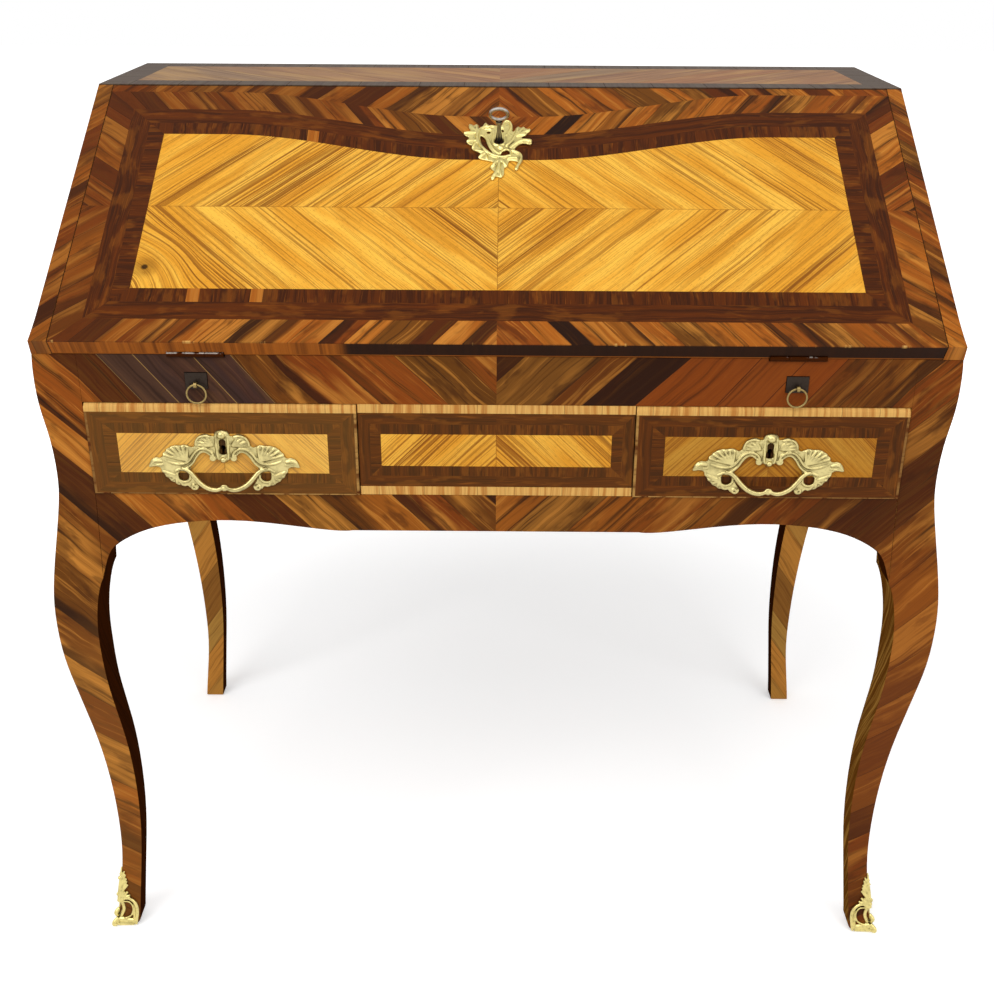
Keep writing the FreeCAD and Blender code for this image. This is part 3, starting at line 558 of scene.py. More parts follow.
def fall_finish(sizes, colours):
    """The fall: feather border, two dark bands and a quartered golden field."""
    finish = Finish("fall_parquetry")
    x, up, off = finish.slope_place()
    reach, rise = abs(x), abs(up - sizes.field_seam)
    from_side = FALL_HALF - reach
    from_top = sizes.crown - finish.soft(reach, *DIP_ENDS) * sizes.dip - up
    inset = finish.least(from_side, up, from_top)
    at_side = from_side < finish.least(up, from_top)
    line = finish.choose(at_side, up - sizes.field_seam, x)
    run, depth = abs(line), abs(inset)
    in_border = inset < sizes.border
    in_long = inset < sizes.border + sizes.long_band
    in_cross = inset < sizes.border + sizes.long_band + sizes.cross_band
    above = inset < 0.0
    edge_face = off < -EDGE_DEPTH
    inside = off < -INNER_DEPTH
    knot_x, knot_up = x - KNOT_ACROSS, up - KNOT_UP
    knot = finish.math("SQRT", knot_x * knot_x + knot_up * knot_up)
    field_across = (reach + rise) * HALF_TURN + finish.soft(knot, *KNOT_BEND) * KNOT_SHIFT
    field_along = (reach - rise) * HALF_TURN
    slanted = (run + depth * BORDER_LEAN) * BORDER_SLANT
    across, along, piece = finish.laid(
        (field_across, field_along, WHOLE),
        (in_cross, line, inset, CROSS_PIECE),
        (in_long, inset, line, BAND_PIECE),
        (in_border, slanted, (run * BORDER_LEAN - depth) * BORDER_SLANT, sizes.strip),
        (inside, up, x, BOARD_PIECE),
    )
    lot = finish.math("SIGN", line) * HALF_LOT + at_side * END_LOT + above * CROWN_LOT
    veneer = Veneer(finish, across, along, piece, finish.choose(in_border, lot, FIELD_LOT))
    centre = (veneer.home < CENTRE_STRIPS) * in_border
    veneer.tone = finish.choose(centre, CENTRE_TONE, veneer.tone)
    veneer.tone = finish.choose(above * (reach > CROWN_END), CROWN_END_TONE, veneer.tone)
    veneer.joint = veneer.joint * (1.0 - edge_face)

    half, row = finish.math("SIGN", x), finish.math("SIGN", up - sizes.field_seam)
    quarter = half * QUARTER_ACROSS + row * QUARTER_UP
    shade = finish.stained(
        field_shade(finish, veneer, field_across, field_along, colours, quarter),
        (knot, *KNOT_BROWN, 0.45, colours.brown),
        (knot, *KNOT_BLACK, 0.9, colours.black),
        (finish.least(rise, reach), *SEAM, 0.5, colours.vein),
    )
    let_in = [(abs(x - at) < REPAIR_HALF) * ((up - MIDWAY) * side > 0.0) for at, side in FALL_REPAIRS]
    let_in = finish.most(*let_in) * (1.0 - in_long) * 0.9
    mended = finish.stained(colours.orange, (veneer.streak, 0.45, 0.62, 0.5, colours.tan))
    shade = finish.tint(in_cross, shade, finish.tint(let_in, band_shade(finish, veneer, colours), mended))
    # Painted shade: the feathers darken at the left end and in the left of the top border.
    shade_at_crown = finish.soft(x, *SHADE_CROWN_ACROSS) * finish.soft(up, *SHADE_CROWN_UP)
    painted_shade = finish.most(finish.soft(x, *SHADE_END), shade_at_crown) * 0.50
    feathers_and_shade = finish.tint(painted_shade, feather_shade(finish, veneer, colours), colours.band)
    shade = finish.tint(in_border, shade, feathers_and_shade)
    # Painted shade: black in the keyhole under the escutcheon, where the board shows through.
    keyhole_shade = finish.most(reach * 1.2, abs(up - KEYHOLE_UP + KEYHOLE_SHADE_DROP) * 0.8)
    shade = finish.stained(shade, (keyhole_shade, *KEYHOLE_SHADE_EDGE, 0.95, colours.black))
    edge = finish.stained(
        colours.orange,
        (veneer.streak, 0.35, 0.7, 0.75, colours.band),
        (x, *BLACK_EDGE, 0.97, colours.black),
    )
    shade = finish.tint(edge_face, shade, edge)
    shade = finish.tint(inside, shade, finish.tint(veneer.streak * 0.6, colours.orange, colours.band))
    at_foot = (up < CHIP_HEIGHT) * (off > -CHIP_DEPTH)
    chips = finish.noise(x * CHIPS, 4.0, 0.0, 4.0, 0.7)
    shade = finish.stained(shade, (chips, 0.58, 0.64, at_foot * 0.75, colours.lip))
    return polish(finish, shade, veneer)


# How steep the strips of the legs and of the front are, and the heights between which that changes.
LEG_LEAN, FRONT_LEAN = 0.6, 0.95
LEAN_CHANGE = (0.15, 0.45)
# The same for the linings and for the back legs.
LINING_LEAN = 0.45
BACK_LEG_LEAN, BACK_LEG_SLANT = 0.7, 0.82
# Where the strips of the front and of the sides are counted from, and where the legs meet the rail.
FRONT_PIVOT, SIDE_PIVOT = 0.42, 0.22
LEG_JOINT = 0.398
# Beyond this place across the rail its strips stand steeper, by this share.
STEEP_FROM = 0.20
RAIL_STEEP = 0.3
# How far a face of the apron's knees looks inward when it is lined with painted shade.
KNEE_TURN = 0.2
# Runs of one tone on the rail: the side, their ends across at a height, their tone, and that of their joints.
RAIL_PATCHES = ((-1, 0.240, 0.378, 0.70, "violet", "lip"), (1, 0.190, 0.350, 0.70, "red", "black"))


# Where tones change over the front, as the start and end of each slow change, across or up: darker towards
# its feet, its ruddy right leg, its faded left one, and painted shade over the right half of the apron and
# the right end of the rail.
FEET_BELOW = (0.26, 0.02)
RUDDY_FROM, RUDDY_BELOW, RUDDY_ABOVE = (0.34, 0.40), (0.54, 0.46), (0.04, 0.24)
FADED_FROM, FADED_BELOW = (-0.34, -0.40), (0.44, 0.36)
SHADED_APRON_FROM, SHADED_APRON_TO, SHADED_APRON_ABOVE = (-0.12, 0.10), (0.42, 0.36), (0.40, 0.45)
SHADED_END_FROM, SHADED_END_ABOVE = (0.20, 0.36), (0.50, 0.56)


def steepened(reach, steep, most):
    """Place across the rail, stretched near its ends, where the strips stand steeper."""
    return reach + most(reach - STEEP_FROM, 0.0) * steep


def front_tones_and_shade(finish, shade, x, z, colours):
    """Tones over the front: darker towards the feet, a ruddy right leg, a faded left one, and painted shade
    over the right.
    """
    shade = finish.stained(shade, (z, *FEET_BELOW, 0.35, colours.band))
    ruddy = finish.soft(x, *RUDDY_FROM) * finish.soft(z, *RUDDY_BELOW) * finish.soft(z, *RUDDY_ABOVE)
    shade = finish.tint(ruddy * 0.50, shade, finish.tint(0.3, colours.red, colours.orange))
    faded = finish.soft(x, *FADED_FROM) * finish.soft(z, *FADED_BELOW)
    shade = finish.tint(faded * 0.15, shade, colours.tan)
    # Painted shade over the right half of the apron and the right end of the rail.
    apron = finish.soft(x, *SHADED_APRON_FROM) * finish.soft(x, *SHADED_APRON_TO) * finish.soft(z, *SHADED_APRON_ABOVE)
    end = finish.soft(x, *SHADED_END_FROM) * finish.soft(z, *SHADED_END_ABOVE)
    return finish.tint(apron * 0.36 + end * 0.24, shade, colours.band_dark)


def feather_finish(name, colours, strip, steep=0.0, patches=()):
    """Boards of the front and sides: strips that slant down towards the middle, and run over the joints."""
    finish = Finish(name)
    x, y, z = finish.place()
    on_side = abs(finish.facing()[0]) > 0.7
    reach = finish.choose(on_side, abs(y), abs(x))
    lean = LEG_LEAN + finish.soft(z, *LEAN_CHANGE) * (FRONT_LEAN - LEG_LEAN)
    pivot = FRONT_PIVOT + steepened(LEG_JOINT, steep, max) - LEG_JOINT
    run = steepened(reach, steep, finish.most) - finish.choose(on_side, SIDE_PIVOT, pivot)
    across, along = (run * lean - z) * HALF_TURN, (run + z * lean) * HALF_TURN
    lot = finish.math("SIGN", x) * FRONT_LOT + on_side * FLANK_LOT
    veneer = Veneer(finish, across, along, strip, lot)
    shade = front_tones_and_shade(finish, feather_shade(finish, veneer, colours, FRONT_ROW), x, z, colours)
    for sign, start, end, level, tone, joint in patches:
        ends = [(steepened(edge, steep, max) - pivot) * FRONT_LEAN for edge in (start, end)]
        low, high = [(edge - level) * HALF_TURN for edge in ends]
        within = (veneer.home > low) * (veneer.home < high) * (x * sign > 0.0)
        tinted = finish.stained(getattr(colours, tone), (veneer.streak, 0.45, 0.70, 0.6, colours.black))
        shade = finish.tint(within * 0.88, shade, tinted)
        shade = finish.tint(within * veneer.joint * 0.6, shade, getattr(colours, joint))
    return polish(finish, shade, veneer, 0.42)


def lining_finish(name, colours, tint, stripe):
    """Plain dull veneer on the inner faces of the legs."""
    finish = Finish(name)
    _, y, z = finish.place()
    veneer = Veneer(finish, y + z * LINING_LEAN, z - y * LINING_LEAN, LINING_PIECE)
    shade = finish.stained(tint, (veneer.streak, 0.45, 0.68, 0.7, stripe))
    shade = finish.tint(veneer.joint * 0.5, shade, colours.black)
    return finish.close(shade, 0.75, veneer.fibre, LINING_RELIEF, specular=0.0)


def back_leg_finish(colours):
    """Back legs: olive stripes on the faces that look forward."""
    finish = Finish("back_leg_veneer")
    x, y, z = finish.place()
    reach = finish.choose(abs(finish.facing()[0]) > 0.7, y, abs(x))
    across, along = (reach + z * BACK_LEG_LEAN) * BACK_LEG_SLANT, (reach * BACK_LEG_LEAN - z) * BACK_LEG_SLANT
    veneer = Veneer(finish, across, along, BACK_LEG_PIECE)
    stops = ((0.0, colours.vein), (0.35, colours.olive), (0.75, colours.tan), (1.0, colours.olive))
    shade = finish.stained(
        finish.ramp(veneer.tone, stops), (veneer.streak, 0.45, 0.7, 0.6, colours.band)
    )
    return polish(finish, shade, veneer, 0.42)


# Dark bands of the drawers and of the panel between them: the mitred one, then the crossed one.
PANEL_BANDS = (0.0115, 0.0105)
# Painted shade in a pull's keyhole: where it starts and where it is full.
PULL_KEYHOLE_SHADE_EDGE = (0.0105, 0.0085)
# For each front: its pale lips at the top, foot and sides, how steeply its bands are counted at the sides,
# the tint over its field and the share of it, which on the right drawer is painted shade, and the share of
# dust on its bands.
PANELS = {
    "drawer_front_left": ((0.0085, 0.0012, 0.0024), 0.83, "lip", 0.40, 0.15),
    "drawer_front_right": ((0.0085, 0.0012, 0.0024), 0.83, "vein", 0.60, 0.04),
    "centre_front": ((0.009, 0.0095, 0.0), 1.0, "orange", 0.15, 0.06),
}


def panel_finish(name, node, colours, keyhole=None):
    """A drawer front or the panel between them: pale lip, dark bands and a chevron field."""
    finish = Finish(name)
    low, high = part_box(node)
    (lip_top, lip_foot, lip_side), side_share, tint, share, dust = PANELS[node]
    long_band, cross_band = PANEL_BANDS
    x, _, z = finish.place()
    middle = (low.x + high.x) / 2
    run = x - middle
    reach = abs(run)
    from_top = high.z - lip_top - z
    from_foot = z - low.z - lip_foot
    from_side = ((high.x - middle) - lip_side - reach) * side_share
    inset = finish.least(from_top, from_foot, from_side)
    line = finish.choose(from_side < finish.least(from_top, from_foot), z, run)
    in_lip = inset < 0.0
    in_long = inset < long_band
    in_cross = inset < long_band + cross_band
    field_across = (reach + z) * HALF_TURN
    field_along = (reach - z) * HALF_TURN + middle
    across, along, piece = finish.laid(
        (field_across, field_along, WHOLE),
        (in_cross, line, inset, PANEL_CROSS_PIECE),
        (in_long, inset, line, PANEL_BAND_PIECE),
        (in_lip, line, inset, LIP_PIECE),
    )
    half = finish.math("SIGN", run)
    veneer = Veneer(finish, across, along, piece, half * PANEL_LOT)
    field = field_shade(finish, veneer, field_across, field_along, colours, half * QUARTER_ACROSS)
    # On the right drawer this tint is painted shade over its field.
    field = finish.tint(share, field, getattr(colours, tint))
    field = finish.stained(field, (reach, *SEAM, 0.5, colours.vein))
    dark = finish.tint(dust, band_shade(finish, veneer, colours), colours.olive)
    shade = finish.tint(in_cross, field, dark)
    pale = finish.stained(colours.lip, (veneer.streak, 0.42, 0.64, 0.7, colours.orange))
    inner = 0.25 + (run * math.copysign(1.0, middle) < 0.0) * 0.25
    worn = finish.stained(colours.band, (veneer.blotch, 0.34, 0.56, inner, colours.lip))
    foot_worn = 1.0 if lip_foot < lip_top / 2 else 0.0
    thin = finish.most(from_side < 0.0, (from_foot < 0.0) * foot_worn) * (from_top > 0.0)
    shade = finish.tint(in_lip, shade, finish.tint(thin, pale, worn))
    # Painted shade: black in the pull's keyhole.
    if keyhole is not None:
        keyhole_shade = finish.most(reach * 1.9, abs(z - keyhole))
        shade = finish.stained(shade, (keyhole_shade, *PULL_KEYHOLE_SHADE_EDGE, 0.92, colours.black))
    return polish(finish, shade, veneer)


def top_finish(sizes, colours):
    """The top: faded chevrons within a grey-brown band."""
    finish = Finish("top_veneer")
    low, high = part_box("top_board")
    x, y, _ = finish.place()
    reach = abs(x)
    from_end = high.x - reach
    from_long = finish.least(y - low.y, high.y - y)
    inset = finish.least(from_end, from_long)
    in_band = inset < sizes.top_band
    line = finish.choose(from_end < from_long, y, x)
    across, along, piece = finish.laid(
        ((reach - y) * HALF_TURN, (reach + y) * HALF_TURN, TOP_PIECE),
        (in_band, line, inset, TOP_BAND_PIECE),
    )
    veneer = Veneer(finish, across, along, piece, finish.math("SIGN", x) * TOP_LOT)
    field = finish.stained(
        finish.tint(veneer.tone * 0.55, colours.top, colours.orange),
        (veneer.streak, 0.45, 0.7, 0.55, colours.band),
        (veneer.cloud, 0.4, 0.7, 0.35, colours.lip),
    )
    band = finish.stained(colours.top_edge, (veneer.streak, 0.42, 0.7, 0.8, colours.band_dark))
    return polish(finish, finish.tint(in_band, field, band), veneer, 0.42)


# Where the chevrons of the sides meet, front to back.
SIDE_SEAM = 0.06


def side_finish(sizes, colours):
    """The sides: a feather border and a dark band round a golden field."""
    finish = Finish("side_parquetry")
    low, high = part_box("side_panel_right")
    x, y, z = finish.place()
    nx = finish.facing()[0]
    _, up, off = finish.slope_place()
    from_slope = 0.0 - off
    inset = finish.least(from_slope, high.y - y, high.z - z, z - low.z, y - low.y)
    level = finish.least(high.z - z, z - low.z)
    upright = finish.least(high.y - y, y - low.y)
    line = finish.choose(level < upright, y, z)
    line = finish.choose(from_slope < finish.least(level, upright), up - MIDWAY, line)
    run = abs(line)
    in_border = inset < sizes.border
    in_band = inset < sizes.border + sizes.long_band
    edge_face = abs(nx) < 0.5
    from_seam = abs(y - SIDE_SEAM)
    field_across = (from_seam + z) * HALF_TURN
    field_along = (from_seam - z) * HALF_TURN
    slanted = (run + inset * BORDER_LEAN) * BORDER_SLANT
    across, along, piece = finish.laid(
        (field_across, field_along, WHOLE),
        (in_band, inset, line, BAND_PIECE),
        (in_border, slanted, (run * BORDER_LEAN - inset) * BORDER_SLANT, sizes.strip),
        (edge_face, (abs(x) + up) * HALF_TURN, (abs(x) - up) * HALF_TURN, sizes.strip),
    )
    sign = finish.math("SIGN", x)
    veneer = Veneer(finish, across, along, piece, sign * SIDE_LOT)
    quarter = finish.math("SIGN", y - SIDE_SEAM)
    shade = field_shade(finish, veneer, field_across, field_along, colours, quarter)
    shade = finish.tint(in_band, shade, band_shade(finish, veneer, colours))
    # Painted shade: the edges of the left side are darker than those of the right.
    feathers_and_shade = finish.stained(
        feather_shade(finish, veneer, colours), (x, 0.2, -0.2, edge_face * 0.40, colours.band)
    )
    shade = finish.tint(finish.most(in_border, edge_face), shade, feathers_and_shade)
    plain = finish.tint(veneer.streak * 0.7, colours.oak, colours.band)
    shade = finish.tint(nx * sign < -0.5, shade, plain)
    return polish(finish, shade, veneer, 0.38)


def plank_finish(name, colours, axis, tint, gloss=0.55):
    """Plain boards, with the grain along one axis."""
    finish = Finish(name)
    places = dict(zip("xyz", finish.place()))
    along = places.pop(axis)
    first, second = places.values()
    veneer = Veneer(finish, first + second * 1.3, along, PLANK_PIECE)
    shade = finish.stained(tint, (veneer.streak, 0.38, 0.72, 0.7, colours.band))
    shade = finish.tint(veneer.tone * 0.25, shade, colours.orange)
    return polish(finish, shade, veneer, gloss)


# Gilt lines tooled in the leather: how far each is from the edge, and its half width.
TOOLED_LINES = ((0.014, 0.0011, 0.0008), (0.019, 0.0005, 0.0003))


def leather_finish(colours):
    """Tooled leather: pebbled, worn pale, with two gilt lines near its edge."""
    finish = Finish("tooled_leather")
    low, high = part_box("fall_leather")
    x, up, _ = finish.slope_place()
    ends = [(Vector((0, corner.y, corner.z)) - FALL_FOOT).dot(UP_SLOPE) for corner in (low, high)]
    inset = finish.least(high.x - abs(x), up - min(ends), max(ends) - up)
    tooled = finish.most(*[finish.soft(abs(inset - at), *width) for at, *width in TOOLED_LINES])
    pebble = finish.noise(x * PEBBLE, up * PEBBLE, 0.0, 3.0)
    wear = finish.noise(x * WEAR, up * WEAR, 3.0, 5.0, 0.6)
    shade = finish.stained(
        colours.leather,
        (wear, 0.45, 0.75, 0.5, colours.red),
        (pebble, 0.5, 0.3, 0.35, colours.black),
    )
    shade = finish.tint(tooled * 0.85, shade, colours.gilt)
    return finish.close(shade, 0.42 + wear * 0.25, pebble - tooled * 0.6, LEATHER_RELIEF)


def metal_finish(name, bright, dull, rough, rust_and_shade=False):
    """Cast or filed metal, dull in its hollows with tarnish and painted shade, mottled with age; or rusted
    and painted in shade, with painted highlights in rubbed patches that look up.
    """
    finish = Finish(name)
    x, y, z = finish.place()
    mottle = finish.noise(x * MOTTLE, y * MOTTLE, z * MOTTLE, 4.0, 0.6)
    patch = finish.noise(x * PATCH, y * PATCH, z * PATCH, 3.0)
    # The hollows keep the dull colour: tarnish and painted shade.
    shade = finish.stained(
        dull,
        (finish.hollow(HOLLOW_REACH), 0.50, 1.0, 1.0, bright),
        (mottle, 0.52, 0.75, 0.4, dull),
        (patch, 0.5, 0.75, 0.35, dull),
    )
    # Painted light on the hinges: rust-brown that stands in for their shade, with bright steel only in
    # patches on faces that look up, as painted highlights, more of them on the left than on the right.
    if rust_and_shade:
        worn = finish.choose(x < 0.0, finish.soft(patch, *RUBBED_AND_LIT_LEFT), finish.soft(patch, *RUBBED_AND_SHADED_RIGHT))
        rubbed = finish.soft(finish.facing()[2], *HIGHLIGHT_UP) * worn
        shade = finish.tint(1.0 - rubbed, shade, dull)
    return finish.close(shade, rough + mottle * 0.2, mottle, METAL_RELIEF, metallic=1.0)


def alone(piece):
    """Selects one object and nothing else."""
    bpy.ops.object.select_all(action="DESELECT")
    piece.select_set(True)
    bpy.context.view_layer.objects.active = piece


def shaped(piece, kind, **settings):
    """Adds a modifier, sets it and applies it."""
    alone(piece)
    bpy.ops.object.modifier_add(type=kind)
    modifier = piece.modifiers[-1]
    for setting, value in settings.items():
        setattr(modifier, setting, value)
    bpy.ops.object.modifier_apply(modifier=modifier.name)


def clad(piece, body, slot, material, *nodes):
    """Gives a piece its finish, its body and the CAD nodes that it stands for."""
    piece.data.materials.clear()
    piece.data.materials.append(material)
    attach(piece, body)
    if nodes:
        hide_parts(*nodes)


def paint(material, *nodes):
    """Puts a finish on CAD nodes that stay as they are."""
    for node in nodes:
        data = frame["nodes"][node].data
        data.materials.clear()
        data.materials.append(material)


def body_of(node):
    """The body that a CAD node rides on."""
    return frame["nodes"][node]["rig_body"]


# How near points are when they are one, how flat faces are when they are one, and how sharp an arris is.
WELD = 0.00001
FLAT_ANGLE = math.radians(0.6)
ARRIS_ANGLE = math.radians(40)
# How near a point is to the floor, and to another edge, when it counts as on it.
ON_FLOOR = 0.0005
ON_EDGE = 0.0002


def board_copy(node, suffix):
    """A copy of a CAD board as one welded skin."""
    board = bpy.data.objects.new(node + suffix, frame["nodes"][node].data.copy())
    bpy.context.scene.collection.objects.link(board)
    alone(board)
    bpy.ops.mesh.customdata_custom_splitnormals_clear()
    bpy.ops.object.mode_set(mode="EDIT")
    bpy.ops.mesh.select_all(action="SELECT")
    bpy.ops.mesh.remove_doubles(threshold=WELD)
    bpy.ops.mesh.dissolve_limited(angle_limit=FLAT_ANGLE)
    bpy.ops.object.mode_set(mode="OBJECT")
    return board


def smoothed(board):
    """Smooth shading that keeps flat faces flat."""
    alone(board)
    bpy.ops.object.shade_smooth_by_angle(angle=ARRIS_ANGLE)
    shaped(board, "WEIGHTED_NORMAL", weight=80, keep_sharp=True)


def round_edges(board, chosen, radius):
    """Rounds the edges of a board that run between chosen points."""
    data = board.data
    for polygon in data.polygons:
        polygon.select = False
    for vertex in data.vertices:
        vertex.select = chosen(vertex.co)
    for edge in data.edges:
        edge.select = all(data.vertices[i].select for i in edge.vertices)
    if not any(edge.select for edge in data.edges):
        raise RuntimeError("no edge to round on " + board.name)
    alone(board)
    bpy.ops.object.mode_set(mode="EDIT")
    bpy.ops.mesh.select_mode(type="EDGE")
    bpy.ops.mesh.bevel(offset=radius, segments=5, affect="EDGES")
    bpy.ops.object.mode_set(mode="OBJECT")


def under_inner_side(node):
    """A test for the points under the inner side of a leg."""
    sole = [abs(v.co.x) for v in frame["nodes"][node].data.vertices if v.co.z < ON_FLOOR]
    inner = min(sole) + ON_FLOOR
    return lambda point: point.z < ON_FLOOR and abs(point.x) < inner


def along_top(node):
    """A test for the points of a drawer front's upper front edge."""
    low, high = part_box(node)
    return lambda point: abs(point.y - low.y) < ON_EDGE and abs(point.z - high.z) < ON_EDGE


def veneered(node, material, ease, chosen=None, radius=0.0):
    """A CAD board with its arrises taken off, and with the edges between chosen points rounded."""
    board = board_copy(node, "_veneered")
    if chosen is not None:
        round_edges(board, chosen, radius)
    shaped(board, "BEVEL", width=ease, segments=2, limit_method="ANGLE", angle_limit=ARRIS_ANGLE)
    smoothed(board)
    clad(board, body_of(node), "parquetry", material, node)
    return board


def line_inside(board, material, turned=0.5):
    """Puts a plainer finish on the faces that look towards the middle."""
    board.data.materials.append(material)
    for face in board.data.polygons:
        if face.normal.x * face.center.x < -turned * abs(face.center.x):
            face.material_index = 1


def stroke(points, *radii):
    """A rounded stroke through points, whose thickness runs through the given radii."""
    return points, radii


def mirrored(strokes):
    """The same strokes on the other side."""
    return [([(-x, y, *rest) for x, y, *rest in points], radii) for points, radii in strokes]


def curl(x, y, reach, start, turns, lift, *radii, wind=0.78):
    """A volute that winds in to its centre, or a ring where it winds in little."""
    steps = max(5, int(abs(turns) * 9))
    points = []
    for i in range(steps + 1):
        share = i / steps
        angle = math.radians(start) + turns * math.tau * share
        radius = reach * (1.0 - wind * share)
        points.append((x + radius * math.cos(angle), y + radius * math.sin(angle), lift + share * 0.6))
    return stroke(points, *radii)


def ball(x, y, lift, radius):
    """A round boss."""
    shares = (-1.0, -0.85, -0.45, 0.0, 0.45, 0.85, 1.0)
    points = [(x + radius * s, y, lift) for s in shares]
    return stroke(points, *[radius * math.sqrt(max(0.02, 1.0 - s * s)) for s in shares])


def fan(x, y, lift, tips, root, end):
    """Ribs of a shell or leaf, from one root to its tips."""
    ribs = []
    for tip_x, tip_y in tips:
        middle_x, middle_y = x * 0.45 + tip_x * 0.55, y * 0.45 + tip_y * 0.55
        points = [(x, y, lift), (middle_x, middle_y, lift + 0.9), (tip_x, tip_y, lift - 0.2)]
        ribs.append(stroke(points, root, (root + end) * 0.62, end))
    return ribs


def outline(points, *holes):
    """A flat shape with holes through it."""
    return points, holes


def curve_object(name, flat):
    """A curve in millimetres, to be filled flat or swept round."""
    data = bpy.data.curves.new(name, "CURVE")
    data.dimensions = "2D" if flat else "3D"
    data.resolution_u = 4
    data.use_fill_caps = True
    piece = bpy.data.objects.new(name, data)
    bpy.context.scene.collection.objects.link(piece)
    return piece


def lay_line(piece, points, closed):
    """Adds one smooth line to a curve."""
    line = piece.data.splines.new("NURBS")
    line.points.add(len(points) - 1)
    for knot, (x, y, *off) in zip(line.points, points):
        knot.co = (x, y, *(off or [0.0]), 1.0)
    line.order_u = 3
    line.use_endpoint_u = not closed
    line.use_cyclic_u = closed
    return line


def swept(name, strokes):
    """Rounded strokes as a curve object."""
    piece = curve_object(name, False)
    piece.data.bevel_depth = 1.0
    piece.data.bevel_resolution = 3
    for points, radii in strokes:
        line = lay_line(piece, points, False)
        for i, knot in enumerate(line.points):
            at = i / (len(points) - 1) * (len(radii) - 1)
            first = min(int(at), max(len(radii) - 2, 0))
            second = min(first + 1, len(radii) - 1)
            knot.radius = radii[first] + (radii[second] - radii[first]) * (at - first)
    return piece


def plate(name, shape, thick):
    """A flat shape of some thickness, its back at zero, as a curve object."""
    piece = curve_object(name, True)
    piece.data.fill_mode = "BOTH"
    piece.data.extrude = thick / 2
    points, holes = shape
    for loop in (points, *holes):
        lay_line(piece, loop, True)
    piece.location.z = thick / 2
    return piece


# Castings: the height at which a flat back is cut, in millimetres, and the share of faces that is kept.
BACK_CUT = 0.05
KEPT_FACES = 0.4


def cast(name, strokes, place, grid, shape=None, thick=2.0):
    """A casting: strokes and a plate run together into one skin, flat at the back."""
    parts = [swept(name, strokes)]
    if shape is not None:
        parts.append(plate(name + "_plate", shape, thick))
    for part in parts:
        alone(part)
        bpy.ops.object.convert(target="MESH")
        bpy.ops.object.transform_apply(location=True, rotation=False, scale=False)
    for part in parts:
        part.select_set(True)
    bpy.context.view_layer.objects.active = parts[0]
    if len(parts) > 1:
        bpy.ops.object.join()
    piece = bpy.context.view_layer.objects.active
    shaped(piece, "REMESH", mode="VOXEL", voxel_size=grid / MM)
    shaped(piece, "SMOOTH", factor=0.5, iterations=2)
    if shape is not None:
        bpy.ops.object.mode_set(mode="EDIT")
        bpy.ops.mesh.select_all(action="SELECT")
        bpy.ops.mesh.bisect(
            plane_co=(0, 0, BACK_CUT), plane_no=(0, 0, 1), use_fill=True, clear_inner=True
        )
        bpy.ops.object.mode_set(mode="OBJECT")
    shaped(piece, "DECIMATE", ratio=KEPT_FACES)
    for vertex in piece.data.vertices:
        vertex.co = place(*vertex.co)
    alone(piece)
    bpy.ops.object.shade_smooth()
    return piece


# Height of a pull's middle on its drawer in metres, and of its keyhole above that in millimetres.
PULL_HEIGHT = 0.0355
PULL_KEYHOLE_UP = 15.4
# How much wider a pull is than its drawing.
PULL_STRETCH = 1.045

# One half of a drawer pull, in millimetres from its middle: across, up and off the drawer.
PULL_EDGE = [
    (0, 34), (5, 33), (7, 29.5), (7.6, 26.6), (10, 27.6), (14, 29.4), (18.6, 29), (22.6, 27),
    (24.8, 23.8), (26, 20), (26.4, 16.4), (29, 15), (31.4, 16.6), (34.4, 18), (38, 18), (40.4, 16.8),
    (43, 17.8), (46, 16.6), (49, 16.4), (51, 14), (53.6, 13), (54.4, 10.4), (57, 9), (57, 5.6), (59, 3.6),
    (63, 4.8), (67, 3.2), (69.6, -0.4), (71.6, -6.8), (66.4, -5.2), (61.4, -5.6), (59.4, -7.4),
    (59.6, -11), (56.6, -13.4), (56.4, -16.6), (52.8, -18), (51.8, -21.2), (48, -22), (46, -25),
    (42.4, -25), (39, -27), (36, -25.2), (34.4, -28.6), (31, -30.4), (27, -29.2), (25.6, -25.4),
    (29, -20), (32, -12), (31.4, -5), (28, 2.4), (24, 8.4), (18.4, 10.8), (13.4, 9.6), (11.4, 6),
    (11, 2.6), (7.6, 1.4), (5, 3), (3, -0.6), (0, -1.6),
]
PULL_EYE = [
    (44.2, -13), (41.6, -9.6), (36.6, -9.8), (33.6, -14), (34.6, -18.8), (39.4, -20.6), (43.6, -18),
]
PULL_KEYHOLE = [
    (-3.6, 22.6), (0, 24), (3.6, 22.6), (2.4, 15.4), (3.8, 8.2), (0, 7.4), (-3.8, 8.2), (-2.4, 15.4),
]
